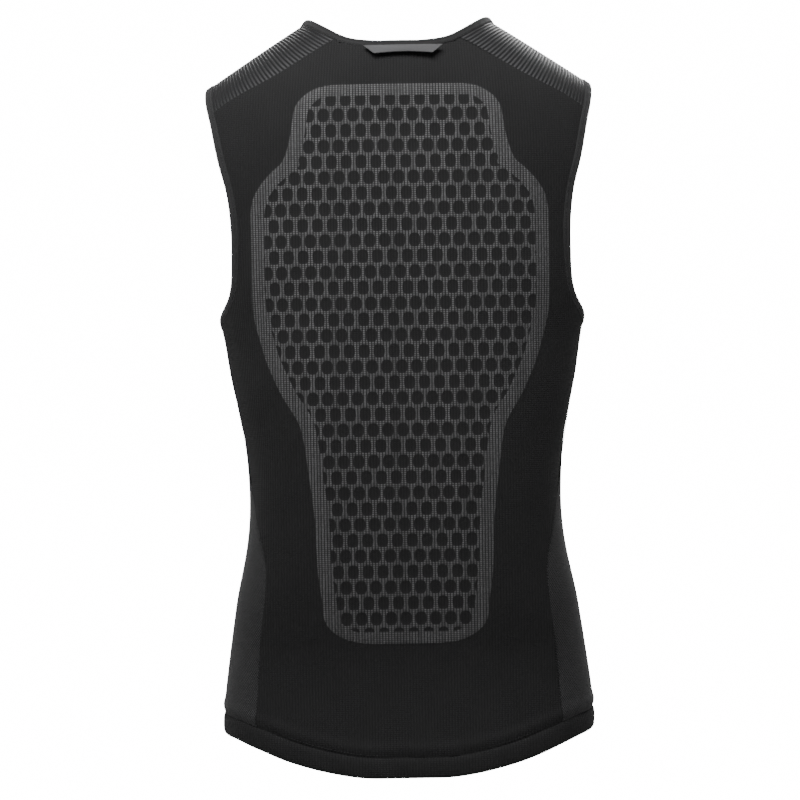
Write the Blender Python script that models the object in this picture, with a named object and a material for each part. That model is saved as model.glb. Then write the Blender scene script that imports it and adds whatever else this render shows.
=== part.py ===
"""Zip-front back protector vest: a fitted knit vest with a foam back pad in an inside pocket.

Metres, +Z up. The wearer faces +Y, so the back is on the -Y side and the wearer's right is +X.
The origin is on the body's centre line, at the height of the lowest point of the hem.
"""

import math

import bmesh
import bpy
import numpy as np
from mathutils import Matrix, Vector

# ---------------------------------------------------------------------------
# Driving sizes of the vest, in metres
# ---------------------------------------------------------------------------

# Heights above the lowest point of the hem.
NECK_LEVEL = 0.680          # shoulder line where it meets the neck opening
NAPE_LEVEL = NECK_LEVEL - 0.0235        # neck opening at the centre of the back
THROAT_LEVEL = NECK_LEVEL - 0.084       # neck opening at the centre of the front
SHOULDER_TIP_LEVEL = NECK_LEVEL - 0.059
ARMPIT_LEVEL = NECK_LEVEL - 0.271
WAIST_LEVEL = 0.250
HIP_LEVEL = 0.055
SIDE_HEM_RISE = 0.036       # the hem is this much higher at the sides
FRONT_HEM_RISE = 0.022      # and this much higher at the front

# Half widths.
NECK_HALF_WIDTH = 0.083
SHOULDER_HALF_WIDTH = 0.174
YOKE_HALF_WIDTH = 0.190     # the body's outline before the armholes are cut
ARMPIT_HALF_WIDTH = 0.1648
WAIST_HALF_WIDTH = 0.1404
HEM_HALF_WIDTH = 0.1675

# Depths from the middle plane.
BACK_DEPTH = 0.115          # most rearward point of the back
BACK_HEM_DEPTH = 0.098
FRONT_HEM_DEPTH = 0.106     # the front centre line is straight, so that the zip is
FRONT_THROAT_DEPTH = 0.092

# The pad, its pocket and the back over them share one arc, seen from the side.
BACK_ARC_RADIUS = 1.500
BACK_ARC_LEVEL = 0.385      # the height at which the arc is most rearward
BACK_FLARE_LEVEL = 0.121    # below this the back leaves the arc and flares to the hem
NAPE_START_LEVEL = NECK_LEVEL - 0.080   # above this the back leans in to the neck
NAPE_LEAN = 2.2             # how fast it leans in, per metre
SHOULDER_DROP = 0.115       # height over which the shoulder rounds into the back
SHOULDER_POWER = 2.5
RIDGE_SOFTNESS = 0.040

PANEL_THICKNESS = 0.0022
SEAM_GAP = 0.0004
TOUCH_GAP = 0.0003          # between pieces that touch in the real vest

NECK_BINDING_WIDTH = 0.0065
ARMHOLE_BINDING_WIDTH = 0.0075
BINDING_THICKNESS = 0.0034
BINDING_PROUD = 0.0006      # how far a binding stands out of the panels
HEM_BAND_WIDTH = 0.0185
HEM_THICKNESS = 0.0030

# Back seams of the side panels: half widths and the heights they are at.
SIDE_SEAM_HEM_HALF = 0.1370
SIDE_SEAM_HIP_HALF = 0.1325
SIDE_SEAM_BOW_HALF = 0.1255
SIDE_SEAM_WAIST_HALF = 0.1345
SIDE_SEAM_HIP_LEVEL = 0.110
SIDE_SEAM_BOW_LEVEL = 0.188
SIDE_SEAM_RIB_DEPTH = 0.040 # how far the seams are from the middle plane above the waist
SIDE_SEAM_ARM_DEPTH = 0.030 # and at the armhole

# Shoulder yokes.
YOKE_SEAM_DROP = 0.0265     # from the shoulder line down to the yoke's seams

# The pad.
PAD_HALF_WIDTH = 0.118
PAD_TOP_LEVEL = NECK_LEVEL - 0.068
PAD_BOTTOM_LEVEL = 0.137
PAD_SHOULDER_HALF = 0.093
PAD_WAIST_HALF = 0.071
PAD_FOOT_HALF = 0.062
PAD_SPREAD_RADIUS = 0.380   # curvature across the back
PAD_OUTER_THICKNESS = 0.0070
PAD_INNER_THICKNESS = 0.0050
PAD_CLEARANCE = 0.0020      # to the back panel, the pocket's walls and its liner
PULL_TAB_HALF_WIDTH = 0.012
PULL_TAB_LENGTH = 0.020
PULL_TAB_THICKNESS = 0.0012

# The pocket.
LINER_THICKNESS = 0.0012
POCKET_SIDE_CLEARANCE = 0.004
POCKET_LID_RISE = 0.004     # the pocket's top closes on the panel this far above its floor
POCKET_MOUTH_LEVEL = 0.100
LINER_EDGE_GAP = 0.0022     # from the liner's edges to the smooth inner face that the faceted panel follows
FLAP_LAP_TOP = 0.086
FLAP_LAP_BOTTOM = 0.064
FLAP_THICKNESS = 0.0010
HOOK_THICKNESS = 0.0010
STRIP_MARGIN = 0.002        # the hook and loop strips stop this far inside the flap's lap
LID_SLOPE = 1.5             # the lid's wall rises this many times its thickness, as it leans

# The hanging loop.
LOOP_TOP_WIDTH = 0.071
LOOP_BOTTOM_WIDTH = 0.052
LOOP_HEIGHT = 0.0088
LOOP_THICKNESS = 0.0012
LOOP_STANDOFF = 0.0034
LOOP_LEG_WIDTH = 0.0085

# The size label, inside the neck.
LABEL_WIDTH = 0.042
LABEL_HEIGHT = 0.020
LABEL_THICKNESS = 0.0006
LABEL_GAP = 0.0025          # to the smooth inner face that the faceted panel follows
LABEL_DROP = 0.006          # below the neck binding

# The zip.
ZIP_REVEAL = 0.0060         # from the centre to the edge of each front panel
ZIP_TAPE_WIDTH = 0.0140
ZIP_TAPE_THICKNESS = 0.0010
ZIP_CHANNEL = 0.0018        # the slider's post runs in this slot between the two coils
ZIP_COIL_WIDTH = 0.0026
ZIP_COIL_THICKNESS = 0.0020
ZIP_END_MARGIN = 0.0120     # from the neck's edge to the upper ends of the coils
ZIP_FOOT_MARGIN = 0.0015    # from the hem's lower edge to the lower ends of the tapes
ZIP_SLIT_MARGIN = 0.0001    # the tapes' inner edges are this far back from the coils' ones
STOP_LENGTH = 0.0035
BOX_LENGTH = 0.0100
BOX_WALL = 0.0010
BOX_SIDE_WALL = 0.0014
BOX_FRONT_WALL = 0.0006
PIN_SHOWING = 0.0020        # how much of the pin stands out of the top of the box
SLIDER_LENGTH = 0.0125
SLIDER_HALF_WIDTH = 0.0046
SLIDER_PLATE = 0.0011
SLIDER_POST_LENGTH = 0.0030
BAIL_HALF_WIDTH = 0.0010
BAIL_LENGTH = 0.0058
BAIL_HEIGHT = 0.0034
BAIL_WALL = 0.0010
BAIL_CORNER = 0.0008
BAIL_PLAY = 0.00035         # round the pull's bar
POST_PLAY = 0.00035         # between the slider's post and each coil
PULL_LENGTH = 0.0290
PULL_HALF_WIDTH = 0.0036
PULL_THICKNESS = 0.0014
PULL_BAR_RADIUS = 0.00065
PULL_EYE_PLAY = 0.0005      # between the bail and each arm of the pull
PULL_EYE_DROP = 0.0012      # from the bail's lower end to the pull's plate
PULL_ARM_WIDTH = 0.0013
PULL_CORNER = 0.0020
PULL_TAPER = 0.0060         # length over which the pull widens below its eye
BITE = 0.0002               # overlap of pieces that are united
BACKING_HALF_WIDTH = 0.019
BACKING_THICKNESS = 0.0010
BACKING_TOP_MARGIN = 0.0010 # below the neck binding

FRONT_LEAN = math.atan2(FRONT_HEM_DEPTH - FRONT_THROAT_DEPTH, THROAT_LEVEL)

# Colour, roughness and metallic value of each finish.
FINISHES = {
    "knit": ((0.018, 0.018, 0.019), 0.90, 0.0),
    "rib_mesh": ((0.030, 0.030, 0.032), 0.60, 0.0),
    "side_mesh": ((0.026, 0.026, 0.028), 0.80, 0.0),
    "binding": ((0.020, 0.020, 0.021), 0.80, 0.0),
    "tape": ((0.075, 0.075, 0.078), 0.75, 0.0),
    "lining": ((0.030, 0.030, 0.032), 0.90, 0.0),
    "firm_foam": ((0.035, 0.037, 0.040), 0.80, 0.0),
    "soft_foam": ((0.120, 0.122, 0.126), 0.95, 0.0),
    "hook_and_loop": ((0.022, 0.022, 0.023), 0.95, 0.0),
    "zip_tape": ((0.016, 0.016, 0.017), 0.85, 0.0),
    "zip_plastic": ((0.012, 0.012, 0.013), 0.40, 0.0),
    "zip_metal": ((0.050, 0.050, 0.053), 0.35, 0.9),
    "label": ((0.200, 0.200, 0.205), 0.90, 0.0),
}


def clear_scene():
    for item in list(bpy.data.objects):
        bpy.data.objects.remove(item, do_unlink=True)


# ---------------------------------------------------------------------------
# The skin: the smooth outer surface that every fabric piece lies on
# ---------------------------------------------------------------------------


def smooth_curve(knots):
    """A function through (position, value) knots, with a continuous slope and no overshoot."""
    place = np.array([k[0] for k in knots])
    value = np.array([k[1] for k in knots])
    step = np.diff(place)
    rise = np.diff(value) / step
    slope = np.zeros(len(place))
    for i in range(1, len(place) - 1):
        if rise[i - 1] * rise[i] > 0:
            before = 2 * step[i] + step[i - 1]
            after = step[i] + 2 * step[i - 1]
            slope[i] = (before + after) / (before / rise[i - 1] + after / rise[i])
    slope[0] = rise[0]
    slope[-1] = rise[-1]

    def at(position):
        position = np.clip(position, place[0], place[-1])
        i = np.clip(np.searchsorted(place, position, side="right") - 1, 0, len(step) - 1)
        t = (position - place[i]) / step[i]
        start = (1 + 2 * t) * (1 - t) ** 2 * value[i] + t * (1 - t) ** 2 * step[i] * slope[i]
        end = t * t * (3 - 2 * t) * value[i + 1] + t * t * (t - 1) * step[i] * slope[i + 1]
        return start + end

    return at


def between(start, end, share):
    return start + (end - start) * share


half_width = smooth_curve(
    (
        (0.0, HEM_HALF_WIDTH),
        (HIP_LEVEL, HEM_HALF_WIDTH + 0.0001),
        (between(HIP_LEVEL, WAIST_LEVEL, 0.48), between(HEM_HALF_WIDTH, WAIST_HALF_WIDTH, 0.57) + 0.003),
        (WAIST_LEVEL, WAIST_HALF_WIDTH),
        (between(WAIST_LEVEL, ARMPIT_LEVEL, 0.75), between(WAIST_HALF_WIDTH, ARMPIT_HALF_WIDTH, 0.70)),
        (ARMPIT_LEVEL, ARMPIT_HALF_WIDTH),
        (between(ARMPIT_LEVEL, SHOULDER_TIP_LEVEL, 0.40), between(ARMPIT_HALF_WIDTH, YOKE_HALF_WIDTH, 0.60)),
        (NECK_LEVEL, YOKE_HALF_WIDTH),
    )
)

# How square the body's cross-section is: 2 is an ellipse.
squareness = smooth_curve(
    (
        (0.0, 3.0),
        (WAIST_LEVEL, 4.0),
        (ARMPIT_LEVEL, 3.2),
        (NECK_LEVEL, 2.8),
    )
)


def arc_depth(z):
    """Depth of the shared back arc behind the middle plane."""
    rise = z - BACK_ARC_LEVEL
    return np.sqrt(BACK_ARC_RADIUS**2 - rise**2) - (BACK_ARC_RADIUS - BACK_DEPTH)


def back_depth(z):
    """The arc in the middle, a flare to the hem below it and a lean to the neck above it."""
    on_arc = arc_depth(z) - NAPE_LEAN * np.maximum(z - NAPE_START_LEVEL, 0.0) ** 2
    join_slope = (BACK_ARC_LEVEL - BACK_FLARE_LEVEL) / BACK_ARC_RADIUS
    hem_slope = -0.45 * join_slope
    t = np.clip(z / BACK_FLARE_LEVEL, 0.0, 1.0)
    span = BACK_FLARE_LEVEL
    flare = (1 + 2 * t) * (1 - t) ** 2 * BACK_HEM_DEPTH + t * (1 - t) ** 2 * span * hem_slope
    flare = flare + t * t * (3 - 2 * t) * arc_depth(BACK_FLARE_LEVEL) + t * t * (t - 1) * span * join_slope
    return np.where(z < BACK_FLARE_LEVEL, flare, on_arc)


def front_depth(z):
    return FRONT_HEM_DEPTH - z * math.tan(FRONT_LEAN)


def soft_abs(x):
    return np.sqrt(np.square(x) + RIDGE_SOFTNESS**2)


def ridge_level(x):
    """Height of the shoulder line, which is carried on over the neck opening."""
    run = soft_abs(SHOULDER_HALF_WIDTH) - soft_abs(NECK_HALF_WIDTH)
    slope = (NECK_LEVEL - SHOULDER_TIP_LEVEL) / run
    return NECK_LEVEL - slope * (soft_abs(x) - soft_abs(NECK_HALF_WIDTH))


def side_rounding(x, z):
    power = squareness(z)
    share = np.clip(np.abs(x) / half_width(z), 0.0, 0.99999)
    return (1 - share**power) ** (1 / power)


def crown(x, z):
    """How much of the full depth is left where the shoulder rounds over."""
    drop = np.clip((ridge_level(x) - z) / SHOULDER_DROP, 1e-9, 1.0)
    return (1 - (1 - drop) ** SHOULDER_POWER) ** (1 / SHOULDER_POWER)


def depth(z, y):
    return np.where(y < 0, back_depth(z), front_depth(z))


def skin_error(points):
    """Zero on the skin and positive outside it, for an array of points."""
    x, y, z = points[..., 0], points[..., 1], points[..., 2]
    power = squareness(z)
    drop = (ridge_level(x) - z) / SHOULDER_DROP
    around = (np.abs(x) / half_width(z)) ** power + (np.abs(y) / (depth(z, y) * crown(x, z))) ** power - 1
    reach = np.clip(np.abs(y) / (depth(z, y) * side_rounding(x, z)), 0.0, 0.9999)
    over = z - ridge_level(x) + SHOULDER_DROP * (1 - (1 - reach**SHOULDER_POWER) ** (1 / SHOULDER_POWER))
    return np.where(drop > 0.35, around * 0.05, over)


def outward(points):
    """Unit normals of the skin, pointing away from the body."""
    reach = 2e-6
    slopes = []
    for axis in range(3):
        nudge = np.zeros(3)
        nudge[axis] = reach
        slopes.append((skin_error(points + nudge) - skin_error(points - nudge)) / (2 * reach))
    normal = np.stack(slopes, axis=-1)
    return normal / np.maximum(np.linalg.norm(normal, axis=-1, keepdims=True), 1e-12)


def onto_skin(points):
    """Moves points near the skin onto it."""
    points = np.array(points, dtype=float)
    reach = 2e-6
    for _ in range(12):
        error = skin_error(points)
        normal = outward(points)
        slope = (skin_error(points + normal * reach) - skin_error(points - normal * reach)) / (2 * reach)
        step = np.clip(error / np.maximum(np.abs(slope), 1e-6), -0.006, 0.006)
        points = points - normal * step[..., None]
    return points


def back_point(x, z):
    return np.array((x, -float(back_depth(z) * side_rounding(x, z) * crown(x, z)), z))


def front_point(x, z):
    return np.array((x, float(front_depth(z) * side_rounding(x, z) * crown(x, z)), z))


def side_point(y, z):
    """A point of the right side, given how far it is in front of the middle plane."""
    power = squareness(z)
    share = min(abs(y) / float(depth(z, y)), 0.999)
    return np.array((float(half_width(z) * (1 - share**power) ** (1 / power)), y, z))


# ---------------------------------------------------------------------------
# Curves on the skin
# ---------------------------------------------------------------------------


def evenly(curve, count):
    """The same polyline with count points at equal distances along it."""
    curve = np.asarray(curve)
    length = np.concatenate(([0.0], np.cumsum(np.linalg.norm(np.diff(curve, axis=0), axis=1))))
    wanted = np.linspace(0.0, length[-1], count)
    return np.stack([np.interp(wanted, length, curve[:, axis]) for axis in range(3)], axis=-1)


def through(points, count, closed=False):
    """A smooth curve on the skin through the given points."""
    points = np.asarray(points)
    total = len(points)
    fine = []
    spans = total if closed else total - 1
    for i in range(spans):
        if closed:
            a, b, c, d = (points[(i + k) % total] for k in (-1, 0, 1, 2))
        else:
            b, c = points[i], points[i + 1]
            a = points[i - 1] if i > 0 else 2 * b - c
            d = points[i + 2] if i + 2 < total else 2 * c - b
        for t in np.linspace(0.0, 1.0, 24, endpoint=False):
            fine.append(catmull(a, b, c, d, t))
    fine.append(points[0] if closed else points[-1])
    curve = evenly(onto_skin(np.array(fine)), count + 1 if closed else count)
    curve = onto_skin(curve)
    return curve[:-1] if closed else curve


def catmull(a, b, c, d, t):
    """A point between b and c of a centripetal curve through a, b, c and d."""
    ab, bc, cd = (max(np.linalg.norm(q - p), 1e-6) ** 0.5 for p, q in ((a, b), (b, c), (c, d)))
    slope_b = ((b - a) / ab - (c - a) / (ab + bc) + (c - b) / bc) * bc
    slope_c = ((c - b) / bc - (d - b) / (bc + cd) + (d - c) / cd) * bc
    start = (1 + 2 * t) * (1 - t) ** 2 * b + t * (1 - t) ** 2 * slope_b
    return start + t * t * (3 - 2 * t) * c + t * t * (t - 1) * slope_c


def directions(curve, closed=False):
    if closed:
        ahead = np.roll(curve, -1, axis=0) - np.roll(curve, 1, axis=0)
    else:
        ahead = np.gradient(curve, axis=0)
    return ahead / np.linalg.norm(ahead, axis=1, keepdims=True)


def beside(curve, distance, closed=False):
    """The curve on the skin at a distance to the left of this one, seen from outside."""
    left = np.cross(outward(curve), directions(curve, closed))
    return onto_skin(curve + left * distance)


def mirrored(curve):
    return np.asarray(curve) * np.array((-1.0, 1.0, 1.0))


def joined(*curves):
    """Polylines end to end, each with its own number of evenly spaced points."""
    rows = [np.asarray(curve) for curve in curves]
    return np.concatenate([rows[0]] + [row[1:] for row in rows[1:]])


# ---------------------------------------------------------------------------
# Meshes
# ---------------------------------------------------------------------------


def finish(item, slot):
    """Gives an object its own material with the slot's finish."""
    colour, roughness, metallic = FINISHES[slot]
    material = bpy.data.materials.new(item.name)
    material.use_nodes = True
    shader = material.node_tree.nodes["Principled BSDF"]
    shader.inputs["Base Color"].default_value = (*colour, 1.0)
    shader.inputs["Roughness"].default_value = roughness
    shader.inputs["Metallic"].default_value = metallic
    item.data.materials.append(material)
    return item


def add_object(name, mesh_builder, slot, parent=None):
    mesh = bpy.data.meshes.new(name)
    bmesh.ops.recalc_face_normals(mesh_builder, faces=mesh_builder.faces)
    mesh_builder.to_mesh(mesh)
    mesh_builder.free()
    mesh.shade_smooth()
    mesh.set_sharp_from_angle(angle=math.radians(35))
    item = bpy.data.objects.new(name, mesh)
    bpy.context.scene.collection.objects.link(item)
    item.parent = parent
    return finish(item, slot)


def slab(name, front, back, slot, parent=None, ring=False):
    """A closed solid between two grids of points; ring joins the last row to the first."""
    rows, columns = front.shape[:2]
    shape = bmesh.new()
    faces = [[[shape.verts.new(point) for point in row] for row in grid] for grid in (front, back)]
    row_steps = rows if ring else rows - 1
    for i in range(row_steps):
        k = (i + 1) % rows
        for j in range(columns - 1):
            a, b = faces
            shape.faces.new((a[i][j], a[i][j + 1], a[k][j + 1], a[k][j]))
            shape.faces.new((b[i][j], b[k][j], b[k][j + 1], b[i][j + 1]))
        for j in (0, columns - 1):
            shape.faces.new((faces[0][i][j], faces[0][k][j], faces[1][k][j], faces[1][i][j]))
    if not ring:
        for i in (0, rows - 1):
            for j in range(columns - 1):
                a, b = faces[0][i], faces[1][i]
                shape.faces.new((a[j], b[j], b[j + 1], a[j + 1]))
    return add_object(name, shape, slot, parent)


def patch(left, right, bottom, top):
    """A grid on the skin between four curves that share their corners."""
    rows, columns = len(left), len(bottom)
    v = np.linspace(0, 1, rows)[:, None, None]
    u = np.linspace(0, 1, columns)[None, :, None]
    across = (1 - u) * left[:, None] + u * right[:, None]
    along = (1 - v) * bottom[None] + v * top[None]
    corners = (1 - v) * ((1 - u) * left[0] + u * right[0]) + v * ((1 - u) * left[-1] + u * right[-1])
    grid = onto_skin(across + along - corners)
    grid = onto_skin(np.array([evenly(row, columns) for row in grid]))
    grid[0], grid[-1] = bottom, top
    grid[:, 0], grid[:, -1] = left, right
    return grid


def inset(grid, distance):
    """Draws the four edges of a grid in by a distance."""
    grid = grid.copy()
    for _ in range(2):
        for edge, inner in ((0, 1), (-1, -2)):
            step = grid[inner] - grid[edge]
            grid[edge] = grid[edge] + step * (distance / np.linalg.norm(step, axis=1, keepdims=True))
        grid = grid.transpose(1, 0, 2)
    return grid


def panel(name, grid, slot, thickness=PANEL_THICKNESS, proud=0.0):
    """A fabric piece on the skin, with half a seam's gap round it."""
    grid = inset(grid, SEAM_GAP / 2)
    normal = outward(grid)
    return slab(name, grid + normal * proud, grid - normal * (thickness - proud), slot)


def swept(name, centres, across, out, profile, slot, closed):
    """A strip with a closed cross-section, given as (across, out) points, along a line."""
    shape = bmesh.new()
    rings = []
    for centre, side, up in zip(centres, across, out):
        rings.append([shape.verts.new(centre + side * w + up * h) for w, h in profile])
    count = len(rings)
    for i in range(count if closed else count - 1):
        a, b = rings[i], rings[(i + 1) % count]
        for j in range(len(profile)):
            k = (j + 1) % len(profile)
            shape.faces.new((a[j], a[k], b[k], b[j]))
    if not closed:
        shape.faces.new(rings[0])
        shape.faces.new(rings[-1])
    return add_object(name, shape, slot)


def binding(name, seam, width, closed):
    """A folded tape; it lies to the left of its seam, seen from outside."""
    normal = outward(seam)
    left = np.cross(normal, directions(seam, closed))
    corner = 0.28 * BINDING_THICKNESS
    top = BINDING_PROUD
    low = BINDING_PROUD - BINDING_THICKNESS
    near = SEAM_GAP / 2
    profile = (
        (near + corner / 2, top),
        (near, top - corner / 2),
        (near, low + corner / 2),
        (near + corner / 2, low),
        (width - corner, low),
        (width, low + corner),
        (width, top - corner),
        (width - corner, top),
    )
    return swept(name, seam, left, normal, profile, "binding", closed)


def box(shape, low, high):
    """Adds a box between two corners to a bmesh."""
    made = bmesh.ops.create_cube(shape, size=1.0)["verts"]
    size = Vector(high) - Vector(low)
    middle = (Vector(high) + Vector(low)) / 2
    for vert in made:
        vert.co = Vector((vert.co.x * size.x, vert.co.y * size.y, vert.co.z * size.z)) + middle
    return shape


def box_object(name, low, high, slot, parent=None):
    return add_object(name, box(bmesh.new(), low, high), slot, parent)


def extruded(name, outline, axis, low, high, slot, parent=None):
    """A flat outline, given in the two other axes, extruded along one axis."""
    others = [i for i in range(3) if i != axis]
    shape = bmesh.new()
    ends = []
    for level in (low, high):
        ring = []
        for point in outline:
            place = [0.0, 0.0, 0.0]
            place[axis] = level
            place[others[0]], place[others[1]] = point
            ring.append(shape.verts.new(place))
        ends.append(ring)
    shape.faces.new(ends[0])
    shape.faces.new(ends[1])
    for i in range(len(outline)):
        k = (i + 1) % len(outline)
        shape.faces.new((ends[0][i], ends[0][k], ends[1][k], ends[1][i]))
    return add_object(name, shape, slot, parent)


def empty(name, location, tilt=0.0, parent=None):
    item = bpy.data.objects.new(name, None)
    item.location = location
    item.rotation_euler = (tilt, 0.0, 0.0)
    item.parent = parent
    bpy.context.scene.collection.objects.link(item)
    return item


def combine(base, tools, operation):
    """Applies Booleans with the EXACT solver; tools that add are then removed from the scene."""
    for tool in tools:
        step = base.modifiers.new(operation.lower(), "BOOLEAN")
        step.operation = operation
        step.solver = "EXACT"
        step.object = tool
    evaluated = base.evaluated_get(bpy.context.evaluated_depsgraph_get())
    result = bpy.data.meshes.new_from_object(evaluated)
    base.modifiers.clear()
    base.data = result
    for tool in tools:
        bpy.data.objects.remove(tool, do_unlink=True)
    return base


# ---------------------------------------------------------------------------
# Edges and seams of the vest, all for the right half; the left half mirrors them
# ---------------------------------------------------------------------------

FINE = 700                  # samples along a curve that seams are cut from

# Steps of each stretch of seam; the pieces on both sides of a seam share its points.
LONGEST_STEP = 0.027
STEPS_PER_DEPTH = 78        # per metre: a deeper body turns more sharply at its armholes
SIDE_SEAM_STEPS = math.ceil((ARMPIT_LEVEL - SIDE_HEM_RISE) / LONGEST_STEP)
ARMHOLE_BACK_STEPS = math.ceil(STEPS_PER_DEPTH * BACK_DEPTH)
ARMHOLE_FRONT_STEPS = ARMHOLE_BACK_STEPS
ARMPIT_STEPS = 6
SHOULDER_STEPS = 12
YOKE_STEPS = 7
NAPE_STEPS = 5
THROAT_STEPS = 7


def neck_edge():
    """The top of the neck binding, from the zip at the front to the centre of the back."""
    rise = NECK_LEVEL - NAPE_LEVEL
    fall = NECK_LEVEL - THROAT_LEVEL
    half = NECK_HALF_WIDTH
    points = [
        front_point(0.0, THROAT_LEVEL),
        front_point(0.34 * half, THROAT_LEVEL + 0.04 * fall),
        front_point(0.66 * half, THROAT_LEVEL + 0.24 * fall),
        front_point(0.89 * half, THROAT_LEVEL + 0.60 * fall),
        np.array((half, 0.0, NECK_LEVEL)),
        back_point(0.80 * half, NAPE_LEVEL + 0.69 * rise),
        back_point(0.54 * half, NAPE_LEVEL + 0.17 * rise),
        back_point(0.27 * half, NAPE_LEVEL + 0.01 * rise),
        back_point(0.0, NAPE_LEVEL),
    ]
    return through(points, FINE)


def armhole_edge():
    """The open edge of the right armhole, from the shoulder down the back and up the front."""
    height = SHOULDER_TIP_LEVEL - ARMPIT_LEVEL
    low = ARMPIT_LEVEL
    tip = SHOULDER_HALF_WIDTH
    pit = ARMPIT_HALF_WIDTH
    points = [
        np.array((tip, 0.0, SHOULDER_TIP_LEVEL)),
        back_point(tip - 0.003, low + 0.86 * height),
        back_point(tip - 0.012, low + 0.66 * height),
        back_point(pit - 0.0103, low + 0.52 * height),
        back_point(pit - 0.0137, low + 0.30 * height),
        back_point(pit - 0.0100, low + 0.10 * height),
        side_point(0.0, low),
        front_point(pit - 0.0104, low + 0.10 * height),
        front_point(pit - 0.0150, low + 0.30 * height),
        front_point(pit - 0.0150, low + 0.54 * height),
        front_point(tip - 0.0140, low + 0.74 * height),
        front_point(tip - 0.0040, low + 0.90 * height),
    ]
    return through(points, 2 * FINE, closed=True)


def hem_edge():
    """The lower edge of the hem, from the centre of the back round to the zip."""
    side = SIDE_HEM_RISE
    front = FRONT_HEM_RISE
    wide = HEM_HALF_WIDTH
    points = [
        back_point(0.0, 0.0),
        back_point(0.24 * wide, 0.015 * side),
        back_point(0.44 * wide, 0.165 * side),
        back_point(0.64 * wide, 0.415 * side),
        back_point(0.81 * wide, 0.72 * side),
        back_point(0.93 * wide, 0.935 * side),
        side_point(0.0, 1.045 * side),
        front_point(0.85 * wide, 0.8 * side + 0.2 * front),
        front_point(0.50 * wide, 0.2 * side + 0.8 * front),
        front_point(0.0, front),
    ]
    return through(points, FINE)


def nearest(curve, point):
    """The place in a curve of the sample nearest to a point."""
    return int(np.argmin(np.linalg.norm(curve - point, axis=1)))


def stretch(curve, start, end, steps):
    """The part of a curve from one of its points to another, in equal steps."""
    first, last = nearest(curve, start), nearest(curve, end)
    part = curve[first : last + 1] if first <= last else curve[last : first + 1][::-1]
    points = onto_skin(evenly(part, steps + 1))
    points[0], points[-1] = part[0], part[-1]
    return points


class Seams:
    """Every seam of the right half, each in the steps that the pieces beside it share."""

    def __init__(self):
        neck = beside(neck_edge(), NECK_BINDING_WIDTH)
        neck[-1, 0] = 0.0
        arm = beside(armhole_edge(), -ARMHOLE_BINDING_WIDTH, closed=True)
        hem_low = hem_edge()
        hem = beside(hem_low, HEM_BAND_WIDTH)
        hem[0, 0] = 0.0
        self.back_yoke = self.yoke_seam(neck, arm, back_point)
        self.front_yoke = self.yoke_seam(neck, arm, front_point)
        self.back_side = self.side_seam(hem, arm, -1)
        self.front_side = self.side_seam(hem, arm, 1)

        zip_end = neck[nearest(neck[: FINE // 4, :1], (ZIP_REVEAL,))]
        self.neck_throat = stretch(neck, zip_end, self.front_yoke[0], THROAT_STEPS)
        self.neck_shoulder = stretch(neck, self.front_yoke[0], self.back_yoke[0], SHOULDER_STEPS)
        self.neck_nape = stretch(neck, self.back_yoke[0], neck[-1], NAPE_STEPS)

        # The armhole's samples start at the shoulder, so its top is cut from a shifted copy.
        shifted = np.roll(arm, FINE, axis=0)
        self.arm_shoulder = stretch(shifted, self.front_yoke[-1], self.back_yoke[-1], SHOULDER_STEPS)
        self.arm_back = stretch(arm, self.back_yoke[-1], self.back_side[-1], ARMHOLE_BACK_STEPS)
        self.arm_pit = stretch(arm, self.back_side[-1], self.front_side[-1], ARMPIT_STEPS)
        self.arm_front = stretch(arm, self.front_side[-1], self.front_yoke[-1], ARMHOLE_FRONT_STEPS)

        front_end = hem[FINE // 2 :][nearest(hem[FINE // 2 :, :1], (ZIP_REVEAL,))]
        cuts = (hem[0], self.back_side[0], self.front_side[0], front_end)
        steps = (NAPE_STEPS + YOKE_STEPS, ARMPIT_STEPS, THROAT_STEPS + YOKE_STEPS)
        self.hem = [stretch(hem, a, b, n) for a, b, n in zip(cuts, cuts[1:], steps)]
        ends = [hem_low[nearest(hem, cut)] for cut in cuts]
        self.hem_low = [stretch(hem_low, a, b, n) for a, b, n in zip(ends, ends[1:], steps)]
        self.hem_low[0][0, 0] = 0.0

    def side_seam(self, hem, arm, facing):
        """From the hem seam up to the armhole seam, behind or in front of the side."""
        place = back_point if facing < 0 else front_point
        start_level = SIDE_HEM_RISE + 0.6 * HEM_BAND_WIDTH
        points = [
            hem[nearest(hem, place(SIDE_SEAM_HEM_HALF, start_level))],
            place(SIDE_SEAM_HIP_HALF, SIDE_SEAM_HIP_LEVEL),
            place(SIDE_SEAM_BOW_HALF, SIDE_SEAM_BOW_LEVEL),
            place(SIDE_SEAM_WAIST_HALF, WAIST_LEVEL - 0.010),
            side_point(facing * SIDE_SEAM_RIB_DEPTH, WAIST_LEVEL + 0.045),
            side_point(facing * SIDE_SEAM_ARM_DEPTH, 0.5 * (WAIST_LEVEL + 0.045 + ARMPIT_LEVEL)),
            arm[nearest(arm, side_point(facing * SIDE_SEAM_ARM_DEPTH, ARMPIT_LEVEL - 0.004))],
        ]
        return stretch(through(points, FINE), points[0], points[-1], SIDE_SEAM_STEPS)

    def yoke_seam(self, neck, arm, place):
        """From the neck seam out to the armhole seam, below the shoulder line."""
        inner_x = 0.74 * NECK_HALF_WIDTH
        outer_x = SHOULDER_HALF_WIDTH - 0.0115
        inner = place(inner_x, float(ridge_level(inner_x)) - 1.42 * YOKE_SEAM_DROP)
        outer = place(outer_x, float(ridge_level(outer_x)) - 1.10 * YOKE_SEAM_DROP)
        start, end = neck[nearest(neck, inner)], arm[nearest(arm, outer)]
        middle = place(0.5 * (start[0] + end[0]), 0.5 * (start[2] + end[2]) - 0.001)
        return stretch(through([start, middle, end], FINE), start, end, YOKE_STEPS)


def both_halves(curve):
    """A curve from the centre line outwards, joined to its mirror image, left to right."""
    return joined(mirrored(curve)[::-1], curve)


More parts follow.
